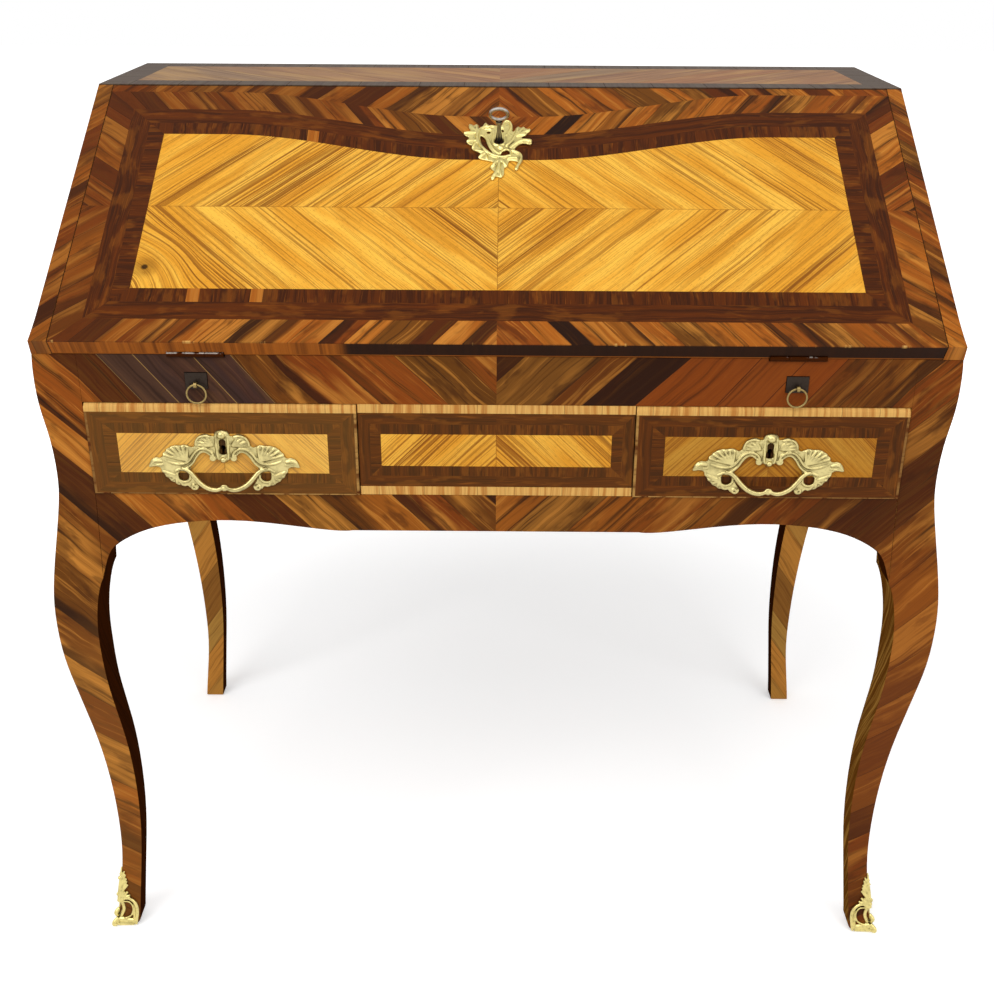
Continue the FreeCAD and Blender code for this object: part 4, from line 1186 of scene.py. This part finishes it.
PULL_HALF = [
    stroke(
        [(9.6, 3.6, 2.4), (8.6, 7.4, 2.6), (11.6, 12, 2.6), (17, 14.8, 2.6), (23.4, 13.4, 2.6),
         (28.4, 7.6, 2.6), (32, 1, 2.6), (38, -2.4, 2.4), (48, -2.2, 2.2), (55, 1.6, 2)],
        1.2, 1.4, 1.4, 1.3, 0.9,
    ),
    stroke(
        [(12.6, 7.6, 2), (15.4, 11.2, 2.2), (20.6, 11, 2.2), (25, 6.2, 2.2), (28.6, -0.6, 2.4),
         (34, -6, 2.6), (41, -6.8, 2.4), (47, -10.4, 2)],
        0.9, 1.1, 1.2, 1.2, 1.0,
    ),
    curl(9.4, 4.2, 3.2, 80, -1.1, 2.2, 1.3, 1.3, 1.2),
    curl(38.8, -15, 6.9, 75, 0.86, 2.0, 1.4, 1.4, 1.2, wind=0.06),
    curl(30, -26.4, 3.6, 150, 1.2, 2.0, 1.4, 1.3),
    stroke(
        [(40, -6.4, 2.4), (33.4, -7.6, 3.4), (27, -16, 6), (20.4, -22.6, 8.4), (12, -26.4, 9.8),
         (4.6, -26, 10.2), (1.4, -23.4, 10.2)],
        1.8, 2.5, 2.6, 2.5, 1.8,
    ),
    stroke([(31, -12, 6.4), (24.4, -20, 9), (16, -25.6, 11), (8, -27.2, 12)], 0.7, 0.9, 0.9, 0.6),
    stroke([(58, 0, 2), (63, 2, 2.2), (67.4, -0.6, 2), (70.4, -5.4, 1.4)], 1.4, 1.6, 1.3, 0.8),
    stroke([(57, -3, 2), (62, -3.4, 2), (67, -4.2, 1.6)], 1.2, 1.1, 0.7),
    stroke(
        [(24.8, 17, 2), (25, 21.4, 2.2), (21.6, 26.4, 2.4), (16, 28, 2.4), (10.6, 26.4, 2.2)],
        1.0, 1.3, 1.3, 1.0,
    ),
    *fan(9, 17.4, 2.0, [(22.4, 17.4), (22.4, 21.4), (18.6, 24.8), (14, 25.8)], 1.3, 1.0),
    *fan(34, 1.4, 2.2, [(33, 16), (38, 16.6), (43, 16.2), (48.6, 14.8), (52.8, 11.6), (56, 7.2)], 1.2, 1.15),
    *fan(45.6, -15.4, 1.9, [(58, -10), (55.4, -15), (51, -19.6), (46, -23.2), (40.6, -25.2)], 1.2, 1.2),
    stroke([(5.2, 26, 2.2), (6, 20, 2.4), (5, 13, 2.4), (5.6, 7, 2.4), (4, 2.6, 2.2)], 1.2, 1.4, 1.2),
]
PULL_MIDDLE = [
    ball(0, 28.8, 2.2, 4.6),
    stroke([(-5.4, 27, 2), (-4, 31.6, 2.4), (0, 32.8, 2.6), (4, 31.6, 2.4), (5.4, 27, 2)], 1.2, 1.3, 1.2),
    ball(0, 2.6, 2.4, 3.2),
    ball(0, -24.6, 10.2, 3.0),
    stroke([(-2.6, -22.6, 10.4), (0, -20.8, 10.4), (2.6, -22.6, 10.4)], 1.2, 1.6, 1.2),
]

# The fall's escutcheon, in millimetres from its keyhole: across, up the slope and off the face.
ESCUTCHEON_EDGE = [
    (-16.6, 20.6), (-15, 24.6), (-12, 22.4), (-9, 18.6), (-5.6, 20.4), (-2, 19.6), (2.4, 19.4), (3.6, 25),
    (7.6, 28.8), (11.6, 26.4), (14.2, 20.6), (15, 14.8), (13.4, 9.4), (16.6, 12), (17.8, 17), (20.4, 19),
    (22.6, 16.4), (26.4, 18.4), (28, 15), (34, 15.6), (32.8, 11), (29.6, 8.6), (28.4, 4.8), (24.4, 3.4),
    (23.6, 0.4), (28, 0.2), (32, -0.8), (35, -4), (34.4, -8.6), (31, -9), (27.4, -7.2), (23, -7.8),
    (18.6, -11.8), (16, -15.8), (18, -18.8), (24.4, -23.8), (25.6, -30.4), (23.6, -36.8), (20.8, -42),
    (20, -47), (17, -48), (15.8, -44), (19, -39), (20.4, -34.4), (15, -33.6), (11, -33), (9.6, -37),
    (9.4, -42.4), (5.4, -44), (5.8, -49), (5.4, -55), (2.6, -59.4), (-1, -56.6), (-3.4, -57), (-4, -60.6),
    (-7, -62.6), (-8.6, -57.4), (-5.8, -53), (-4, -49.4), (-8.4, -45), (-8.8, -41.4), (-4.6, -39),
    (-5.6, -34.6), (-12.6, -33.4), (-18, -31.6), (-22.4, -29), (-19.4, -25.6), (-17, -24), (-22.6, -20.6),
    (-26.6, -18.4), (-29, -14), (-27, -11), (-31.4, -9.4), (-34.4, -5.6), (-33.4, -2), (-30.4, 1),
    (-34.4, 3.4), (-37.8, 7.2), (-36.4, 11), (-31, 10.6), (-29.6, 12.4), (-32, 16.4), (-32.4, 21.2),
    (-28.8, 22.2), (-27, 19), (-24.4, 22), (-21.4, 20.4), (-21.4, 14.6), (-19.4, 15.4),
]
ESCUTCHEON_HOLES = (
    [(-19, 4.4), (-16, 2.2), (-13.6, -2), (-12.4, -8.6), (-9.8, -15.6), (-6, -22), (-8.4, -24.2),
     (-13, -19), (-16.6, -12.4), (-18.8, -4.6), (-20, 0.8)],
    [(-13, 9.8), (-11, 11), (-8.8, 10.6), (-9.2, 7.4), (-12.4, 6.8)],
    [(-2.6, 11), (0, 12.4), (2.6, 11), (2.8, 2), (6, -9), (0, -9.6), (-6, -9), (-2.8, 2)],
    [(1, -26.8), (3.6, -20.4), (8.4, -18.2), (12, -20.4), (10.8, -24.8), (6.6, -27.2)],
    [(2.8, 14.4), (5.4, 12), (4.4, 8.6), (2.6, 11.2)],
)
ESCUTCHEON = [
    stroke(
        [(-12, 19, 2), (-18, 16.4, 2.2), (-22, 10, 2.6), (-23.4, 1, 2.8), (-20.6, -10, 2.8),
         (-14, -20, 2.8), (-5, -27.6, 2.6), (5, -29.4, 2.4), (11, -26, 2.2)],
        1.2, 1.6, 1.7, 1.6, 1.2,
    ),
    stroke(
        [(-14.6, 6, 2), (-11.4, -1, 2.2), (-9.6, -9, 2.2), (-5, -18.4, 2.2), (0, -23, 2)],
        0.9, 1.2, 1.2, 0.9,
    ),
    stroke(
        [(-15, 14, 2), (-11, 14.4, 2), (-6.6, 13, 2), (-5.4, 6, 2.2), (-6.4, -2, 2.2), (-6, -9, 2.2),
         (0, -11.4, 2.2), (6, -9, 2.2), (6.4, -2, 2.2), (5.4, 6, 2.2)],
        1.0, 1.2, 1.2, 1.2,
    ),
    stroke([(0, -12, 1.4), (2, -15, 1.6), (4, -15, 1.4)], 2.6, 3.0, 2.4),
    *fan(-23, 8, 1.9, [(-31.4, 20.4), (-24, 20.6), (-36.2, 8.4)], 1.3, 1.2),
    *fan(-22, -4, 1.9, [(-33.4, -4.4), (-27.6, -14)], 1.3, 1.2),
    *fan(-14, -22, 1.9, [(-25, -18), (-20.4, -28.4), (-12.4, -31.6)], 1.3, 1.2),
    *fan(-12, 17, 1.9, [(-14.6, 22.6), (-5.6, 18.8)], 1.3, 1.1),
    stroke(
        [(3.4, 16, 2), (4.6, 23, 2.4), (8, 26.6, 2.8), (12, 23.6, 2.8), (13.4, 16.4, 2.6), (10.6, 9, 2.4),
         (7.4, 4, 2.2)],
        1.1, 1.3, 1.3, 1.1,
    ),
    stroke(
        [(7.4, -12, 2.2), (12.6, -7, 2.4), (16.4, 1, 2.4), (18.6, 9, 2.2), (20.2, 17, 1.8)],
        1.6, 1.7, 1.5, 1.1,
    ),
    *fan(17.6, 3, 2.0, [(26, 16.8), (32.4, 13.8), (27.6, 7)], 1.4, 1.1),
    stroke(
        [(11, -16, 2.2), (16, -10, 2.4), (22, -5, 2.4), (28, -3.6, 2.4), (32.6, -5, 2.4)],
        2.0, 2.3, 2.4, 2.4,
    ),
    ball(32, -5, 2.2, 3.0),
    stroke(
        [(1.6, -22, 2), (5, -17, 2.2), (10, -17.4, 2.2), (13.2, -22, 2.2), (12, -27.6, 2.2)],
        1.0, 1.3, 1.1,
    ),
    stroke(
        [(13, -18.6, 2.2), (19, -21, 2.4), (23.4, -26, 2.4), (23, -33, 2.2), (19.4, -41, 2),
         (17.8, -46.4, 1.8)],
        1.3, 1.7, 1.5, 1.2,
    ),
    stroke([(9, -31, 1.8), (14, -29.4, 2), (19.4, -30, 2)], 1.8, 2.0, 1.4),
    *fan(1, -31, 2.0, [(-7, -42.4), (7.6, -41.6)], 1.8, 1.4),
    stroke([(1, -31, 2.2), (0.4, -42, 2.4), (-1.4, -51, 2.2), (-5.6, -60, 1.8)], 1.8, 1.9, 1.6, 1.2),
    *fan(0, -45, 2.0, [(2.6, -57), (-6.6, -58.8)], 1.4, 1.2),
]

# One face of a sabot, in millimetres: away from the leg's corner, up, and off the face.
SABOT_FACE = [
    stroke(
        [(0, 33, 1.8), (4, 37.6, 1.8), (10, 38.2, 1.8), (16.6, 34, 2), (20.4, 26, 2), (21.2, 17, 2),
         (20.4, 8, 1.8), (20.4, 2.4, 1.6)],
        1.6, 2.0, 2.0, 1.8,
    ),
    stroke(
        [(3.4, 32.6, 1.4), (9, 33.6, 1.4), (14, 30, 1.4), (16.4, 23, 1.4), (15.4, 16, 1.4),
         (11.4, 11.4, 1.4), (5, 10, 1.6)],
        1.0, 1.2, 1.2, 1.0,
    ),
    stroke([(17.6, 31, 0), (18.8, 22, 0), (18, 13, 0), (18.6, 4, 0)], 2.2, 2.4, 2.6, 2.6),
    stroke([(18, 5.4, -1), (12, 6, -1), (6, 7, -1), (0, 8, -1)], 4.2, 4.4, 4.6, 4.6),
    stroke([(18, 2.6, 0.8), (10, 2.8, 1), (0, 3.2, 1.4)], 2.2, 2.4, 2.6),
    stroke([(2, 32, 0), (5, 26, 0.2), (4.8, 19, 0.2), (2, 13, 0.4)], 2.2, 2.4, 2.4, 2.2),
    stroke(
        [(1.4, 34, -0.6), (2.6, 42, -0.6), (2, 52, -0.6), (1.2, 62, -0.6), (0.4, 72, -0.4)],
        3.4, 3.2, 2.6, 2.0, 1.2,
    ),
    *fan(1, 36.6, 1.2, [(11.4, 41.4), (8.4, 46)], 1.7, 1.3),
    *fan(1, 46, 1.2, [(7.6, 55.4), (6.2, 60)], 1.6, 1.2),
    *fan(0.6, 55, 1.2, [(5.8, 63.4), (4.2, 69)], 1.5, 1.1),
    *fan(0.4, 64, 1.0, [(3, 73.4)], 1.3, 0.9),
]
SABOT_CORNER = [
    stroke([(0, 33, 1.4), (0, 46, 1.6), (0, 58, 1.4), (0, 70, 1), (0, 79, 0.6)], 2.6, 2.4, 2.0, 1.4, 0.8),
    ball(0, 44, 3.2, 3.1),
    ball(0, 38.4, 2.4, 2.8),
    ball(0, 65, 2.8, 2.5),
    ball(0, 70, 1.6, 1.8),
    stroke([(0, 24, 1.0), (0, 21.6, 4.2), (0, 17.6, 5.2), (0, 14, 2.2)], 1.8, 2.5, 2.4, 1.8),
    ball(0, 5.2, 5, 4.6),
    stroke([(0, 11, 2), (0, 8.4, 6.4), (0, 4.4, 8), (0, 2.6, 5.6)], 2.0, 2.4, 2.3, 1.9),
]

# The key's bow, in millimetres off the fall's face: its middle, half width and half height, then the
# middle and half height that it is worn to, and half the thickness of its wire.
BOW_MIDDLE, BOW_ACROSS, BOW_TALL = 32.5, 9.1, 10.6
WORN_MIDDLE, WORN_TALL = 33.5, 6.9
BOW_WIRE = 1.7


def flatten_bow(key):
    """Makes the key's round bow a level oval, and its shank longer to meet it."""
    foot = BOW_MIDDLE - BOW_TALL - BOW_WIRE
    rise = (WORN_MIDDLE - WORN_TALL) - (BOW_MIDDLE - BOW_TALL)
    for vertex in key.data.vertices:
        off = (vertex.co - FALL_FOOT).dot(OFF_FACE) / MM
        shift = rise * max(off, 0.0) / foot
        if off > foot:
            angle = math.atan2((off - BOW_MIDDLE) / BOW_TALL, vertex.co.x / MM / BOW_ACROSS)
            shift = WORN_MIDDLE - BOW_MIDDLE + (WORN_TALL - BOW_TALL) * math.sin(angle)
        vertex.co += OFF_FACE * shift * MM


# Where rays look for a leg's outer faces: the least height, and how far in from the sabot's middle.
LEAST_LEVEL = 0.0004
RAY_INSET = 0.004


def leg_corner(node):
    """A function that gives a front leg's outer corner at a height, found from its two outer faces."""
    data = frame["nodes"][node].data
    faces = [tuple(face.vertices) for face in data.polygons]
    skin = BVHTree.FromPolygons([v.co for v in data.vertices], faces)
    low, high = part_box("sabot_" + node.split("_")[-1])
    middle = (low + high) / 2
    out = 1 if middle.x > 0 else -1

    def corner(height):
        level = max(height, LEAST_LEVEL)
        front = skin.ray_cast(Vector((middle.x - out * RAY_INSET, -1, level)), Vector((0, 1, 0)))[0]
        side = skin.ray_cast(Vector((out, middle.y + RAY_INSET, level)), Vector((-out, 0, 0)))[0]
        if front is None or side is None:
            raise RuntimeError("no corner found on " + node)
        return Vector((side.x, front.y, height))

    return corner


class DeskOperator(bpy.types.Operator):
    """What the desk's operators share."""

    bl_options = {"REGISTER", "UNDO"}

    def execute(self, context):
        self.make(context.scene.slant_desk_sizes, context.scene.slant_desk_colours)
        return {"FINISHED"}


class SLANTDESK_OT_case(DeskOperator):
    """Veneer the case: sides, top, rail, aprons and legs"""

    bl_idname = "slant_desk.case"
    bl_label = "Case"

    def make(self, sizes, colours):
        rail = feather_finish("rail_veneer", colours, sizes.front_strip, RAIL_STEEP, RAIL_PATCHES)
        apron = feather_finish("apron_veneer", colours, sizes.front_strip)
        # The dark lining is painted shade, on the left front leg's and the back legs' inner faces and the
        # apron's knees; the right front leg's inner face keeps its own brown and olive.
        dark = lining_finish("shaded_lining", colours, colours.band_dark, colours.black)
        olive = lining_finish("olive_lining", colours, colours.brown, colours.olive)
        side = side_finish(sizes, colours)
        back_leg = back_leg_finish(colours)
        veneered("front_rail", rail, sizes.arris)
        line_inside(veneered("front_apron", apron, sizes.arris), dark, KNEE_TURN)
        veneered("top_board", top_finish(sizes, colours), sizes.arris)
        for name, lining in (("left", dark), ("right", olive)):
            veneered("side_panel_" + name, side, sizes.arris)
            veneered("side_apron_" + name, apron, sizes.arris)
            leg = "front_leg_" + name
            front = veneered(leg, apron, sizes.arris, under_inner_side(leg), sizes.foot)
            back = veneered("back_leg_" + name, back_leg, sizes.arris)
            line_inside(front, lining)
            line_inside(back, dark)


class SLANTDESK_OT_fall(DeskOperator):
    """Veneer the fall and lay its leather"""

    bl_idname = "slant_desk.fall"
    bl_label = "Fall"

    def make(self, sizes, colours):
        veneered("fall_board", fall_finish(sizes, colours), sizes.arris)
        paint(leather_finish(colours), "fall_leather")


class SLANTDESK_OT_drawer_fronts(DeskOperator):
    """Veneer the two drawer fronts and the panel between them"""

    bl_idname = "slant_desk.drawer_fronts"
    bl_label = "Drawer fronts"

    def make(self, sizes, colours):
        for side in SIDES:
            node = "drawer_front_" + side
            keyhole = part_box(node)[0].z + PULL_HEIGHT + PULL_KEYHOLE_UP * MM
            veneer = panel_finish(node + "_veneer", node, colours, keyhole)
            veneered(node, veneer, sizes.arris, along_top(node), sizes.drawer_lip)
        veneered("centre_front", panel_finish("centre_veneer", "centre_front", colours), sizes.arris)


class SLANTDESK_OT_pulls(DeskOperator):
    """Cast the two scrolled drawer pulls"""

    bl_idname = "slant_desk.pulls"
    bl_label = "Drawer pulls"

    def make(self, sizes, colours):
        gilt = metal_finish("gilt_pull", colours.gilt, colours.gilt_dark, GILT_ROUGH)
        for side in SIDES:
            node = "drawer_pull_" + side
            low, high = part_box(node)
            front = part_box("drawer_front_" + side)[0]
            middle = Vector(((low.x + high.x) / 2, front.y, front.z + PULL_HEIGHT))

            def place(x, y, off):
                return middle + Vector((x * PULL_STRETCH, -off, y)) * MM

            strokes = PULL_HALF + mirrored(PULL_HALF) + PULL_MIDDLE
            other_edge = [(-x, y) for x, y in PULL_EDGE[-2:0:-1]]
            other_eye = [(-x, y) for x, y in PULL_EYE]
            shape = outline(PULL_EDGE + other_edge, PULL_EYE, other_eye, PULL_KEYHOLE)
            piece = cast(node + "_cast", strokes, place, sizes.cast_grid, shape)
            clad(piece, body_of(node), "gilt_bronze", gilt, node)


class SLANTDESK_OT_escutcheon(DeskOperator):
    """Cast the leafy escutcheon on the fall"""

    bl_idname = "slant_desk.escutcheon"
    bl_label = "Escutcheon"

    def make(self, sizes, colours):
        gilt = metal_finish("gilt_escutcheon", colours.lit_gilt, colours.gilt_dark, GILT_ROUGH)
        middle = FALL_FOOT + UP_SLOPE * KEYHOLE_UP

        def place(x, up, off):
            return middle + (Vector((x, 0, 0)) + UP_SLOPE * up + OFF_FACE * off) * MM

        shape = outline(ESCUTCHEON_EDGE, *ESCUTCHEON_HOLES)
        piece = cast("fall_escutcheon_cast", ESCUTCHEON, place, sizes.cast_grid, shape)
        clad(piece, "fall", "gilt_bronze", gilt, "fall_escutcheon")


class SLANTDESK_OT_sabots(DeskOperator):
    """Cast the two scrolled sabots on the front feet"""

    bl_idname = "slant_desk.sabots"
    bl_label = "Sabots"

    def make(self, sizes, colours):
        gilt = metal_finish("gilt_sabot", colours.lit_gilt, colours.gilt_dark, GILT_ROUGH)
        for side, sign in SIDES.items():
            corner = leg_corner("front_leg_" + side)

            def on_front(away, up, off):
                at = corner(up * MM) / MM
                return at.x - sign * away, at.y - off, up

            def on_side(away, up, off):
                at = corner(up * MM) / MM
                return at.x + sign * off, at.y + away, up

            def on_edge(away, up, off):
                at = corner(up * MM) / MM
                return at.x + sign * HALF_TURN * off, at.y - HALF_TURN * off, up

            strokes = []
            for points, radii in SABOT_FACE:
                strokes.append(([on_front(*p) for p in points], radii))
                strokes.append(([on_side(*p) for p in points], radii))
            for points, radii in SABOT_CORNER:
                strokes.append(([on_edge(*p) for p in points], radii))
            piece = cast("sabot_%s_cast" % side, strokes, lambda *p: Vector(p) * MM, sizes.cast_grid)
            clad(piece, "case", "gilt_bronze", gilt, "sabot_" + side)


class SLANTDESK_OT_fittings(DeskOperator):
    """Finish the hinges, locks, key, lopers and rings"""

    bl_idname = "slant_desk.fittings"
    bl_label = "Fittings"

    def make(self, sizes, colours):
        brass = metal_finish("worn_brass", colours.brass, colours.gilt_dark, 0.3)
        steel = metal_finish("worn_steel", colours.steel, colours.iron, 0.28)
        iron = metal_finish("dark_iron", colours.iron, colours.black, 0.45)
        rust_and_shade = metal_finish("rust_and_shade_steel", colours.steel, colours.band_dark, 0.4, True)
        paint(rust_and_shade, "case_hinge_leaves", "fall_hinge_leaves", "hinge_pins", "strike_plate")
        paint(brass, "small_drawer_knob_left", "small_drawer_knob_right")
        paint(brass, "loper_eye_left", "loper_eye_right", "loper_ring_left", "loper_ring_right")
        paint(steel, "fall_lock_bolt", "fall_lock_case")
        paint(steel, "drawer_lock_left", "drawer_lock_right")
        paint(iron, "loper_left", "loper_right")
        key = board_copy("fall_key", "_worn")
        flatten_bow(key)
        smoothed(key)
        clad(key, body_of("fall_key"), "steel", steel, "fall_key")


class SLANTDESK_OT_inside(DeskOperator):
    """Finish the carcase, the drawers and the inside"""

    bl_idname = "slant_desk.inside"
    bl_label = "Inside"

    def make(self, sizes, colours):
        oak_across = plank_finish("oak_across", colours, "x", colours.oak)
        oak_deep = plank_finish("oak_deep", colours, "y", colours.oak)
        polished = plank_finish("polished_inside", colours, "x", colours.orange, 0.35)
        paint(oak_across, "back_panel_lower", "back_panel_upper", "dust_boards", "well_boards")
        paint(oak_deep, "drawer_runners", "loper_sleeves", "partition_left", "partition_right")
        paint(polished, "writing_floor", "well_cover", "gradin_base", "gradin_shelf", "gradin_dividers")
        for side in SIDES:
            paint(oak_deep, "drawer_walls_" + side, "drawer_bottom_" + side, "small_drawer_tray_" + side)
            paint(polished, "small_drawer_front_" + side)


class SLANTDESK_OT_stage(DeskOperator):
    """Set the floor, the light and the camera"""

    bl_idname = "slant_desk.stage"
    bl_label = "Stage"

    def make(self, sizes, colours):
        scene = bpy.context.scene
        scene.view_settings.view_transform = "Standard"
        bpy.ops.object.select_all(action="DESELECT")
        bpy.ops.mesh.primitive_plane_add(size=FLOOR_SIZE, location=FLOOR_PLACE)
        bpy.ops.object.transform_apply(location=True, rotation=False, scale=False)
        floor = bpy.context.view_layer.objects.active
        floor.name = "floor"
        floor.data.materials.append(self.paper())
        self.sky(scene)
        for lamp in LAMPS:
            self.lamp(*lamp)
        data = bpy.data.cameras.new("camera")
        data.sensor_fit = "HORIZONTAL"
        data.sensor_width = CAMERA_FILM
        data.lens = CAMERA_LENS
        camera = bpy.data.objects.new("camera", data)
        scene.collection.objects.link(camera)
        camera.matrix_world = self.camera_matrix()
        scene.camera = camera

    def paper(self):
        """Pale floor that is white to the camera in the open and keeps the desk's shadow."""
        finish = Finish("paper_floor")
        x, y, _ = finish.place()
        shade = finish.tint(finish.noise(x * 40.0, y * 40.0, 0.0) * 0.1, *FLOOR_TONES)
        material = finish.close(shade, 0.9, specular=0.0)
        shader = next(n for n in finish.nodes if n.type == "BSDF_PRINCIPLED")
        path = finish.nodes.new("ShaderNodeLightPath")
        seen = finish.most(*[Field(finish, path.outputs[ray]) for ray in SEEN_RAYS])
        shader.inputs["Emission Color"].default_value = WHITE
        away = finish.math("SQRT", x * x + y * y)
        glow = FLOOR_GLOW + finish.soft(away, OPEN_FROM, OPEN_AT) * OPEN_GLOW
        finish.plug(seen * glow, shader.inputs["Emission Strength"])
        return material

    def sky(self, scene):
        """Even light all round, and white where the camera or a mirror looks past the desk."""
        world = bpy.data.worlds.new("studio")
        world.use_nodes = True
        nodes, links = world.node_tree.nodes, world.node_tree.links
        nodes.clear()
        path = nodes.new("ShaderNodeLightPath")
        seen = path.outputs[SEEN_RAYS[0]]
        for ray in SEEN_RAYS[1:]:
            either = nodes.new("ShaderNodeMath")
            either.operation = "MAXIMUM"
            links.new(seen, either.inputs[0])
            links.new(path.outputs[ray], either.inputs[1])
            seen = either.outputs["Value"]
        level = nodes.new("ShaderNodeMapRange")
        level.inputs["To Min"].default_value = SKY_LEVEL
        level.inputs["To Max"].default_value = 1.0
        links.new(seen, level.inputs["Value"])
        light = nodes.new("ShaderNodeBackground")
        light.inputs["Color"].default_value = WHITE
        links.new(level.outputs["Result"], light.inputs["Strength"])
        out = nodes.new("ShaderNodeOutputWorld")
        links.new(light.outputs["Background"], out.inputs["Surface"])
        scene.world = world

    def lamp(self, name, place, size, power):
        """A soft square lamp that looks at the desk."""
        data = bpy.data.lights.new(name, "AREA")
        data.size = size
        data.energy = power
        lamp = bpy.data.objects.new(name, data)
        lamp.location = place
        aim = LAMP_AIM - Vector(place)
        lamp.rotation_euler = aim.to_track_quat("-Z", "Y").to_euler()
        bpy.context.scene.collection.objects.link(lamp)

    def camera_matrix(self):
        """Where the camera stands and how it is turned."""
        ahead = Vector((-math.sin(CAMERA_YAW), math.cos(CAMERA_YAW), 0.0)) * math.cos(CAMERA_PITCH)
        ahead.z = -math.sin(CAMERA_PITCH)
        right = Vector((math.cos(CAMERA_YAW), math.sin(CAMERA_YAW), 0.0))
        up = right.cross(ahead)
        turned_right = right * math.cos(CAMERA_ROLL) + up * math.sin(CAMERA_ROLL)
        turned_up = up * math.cos(CAMERA_ROLL) - right * math.sin(CAMERA_ROLL)
        matrix = Matrix((turned_right, turned_up, -ahead)).transposed().to_4x4()
        matrix.translation = CAMERA_PLACE
        return matrix


class SLANTDESK_PT_panel(bpy.types.Panel):
    """The desk's pieces, in the order in which they are made"""

    bl_idname = "SLANTDESK_PT_panel"
    bl_label = "Slant-front desk"
    bl_space_type = "VIEW_3D"
    bl_region_type = "UI"
    bl_category = "Desk"

    def draw(self, context):
        column = self.layout.column(align=True)
        for operator in OPERATORS:
            column.operator(operator.bl_idname)
        for group in (context.scene.slant_desk_sizes, context.scene.slant_desk_colours):
            box = self.layout.box()
            for name in group.__annotations__:
                box.prop(group, name)


OPERATORS = (
    SLANTDESK_OT_stage,
    SLANTDESK_OT_case,
    SLANTDESK_OT_fall,
    SLANTDESK_OT_drawer_fronts,
    SLANTDESK_OT_pulls,
    SLANTDESK_OT_escutcheon,
    SLANTDESK_OT_sabots,
    SLANTDESK_OT_fittings,
    SLANTDESK_OT_inside,
)
CLASSES = (SlantDeskSizes, SlantDeskColours, *OPERATORS, SLANTDESK_PT_panel)


def register():
    for cls in CLASSES:
        bpy.utils.register_class(cls)
    bpy.types.Scene.slant_desk_sizes = PointerProperty(type=SlantDeskSizes)
    bpy.types.Scene.slant_desk_colours = PointerProperty(type=SlantDeskColours)


def unregister():
    del bpy.types.Scene.slant_desk_colours
    del bpy.types.Scene.slant_desk_sizes
    for cls in reversed(CLASSES):
        bpy.utils.unregister_class(cls)


def main():
    register()
    for operator in OPERATORS:
        group, name = operator.bl_idname.split(".")
        getattr(getattr(bpy.ops, group), name)()
    bpy.context.view_layer.update()


if __name__ == "__main__":
    main()
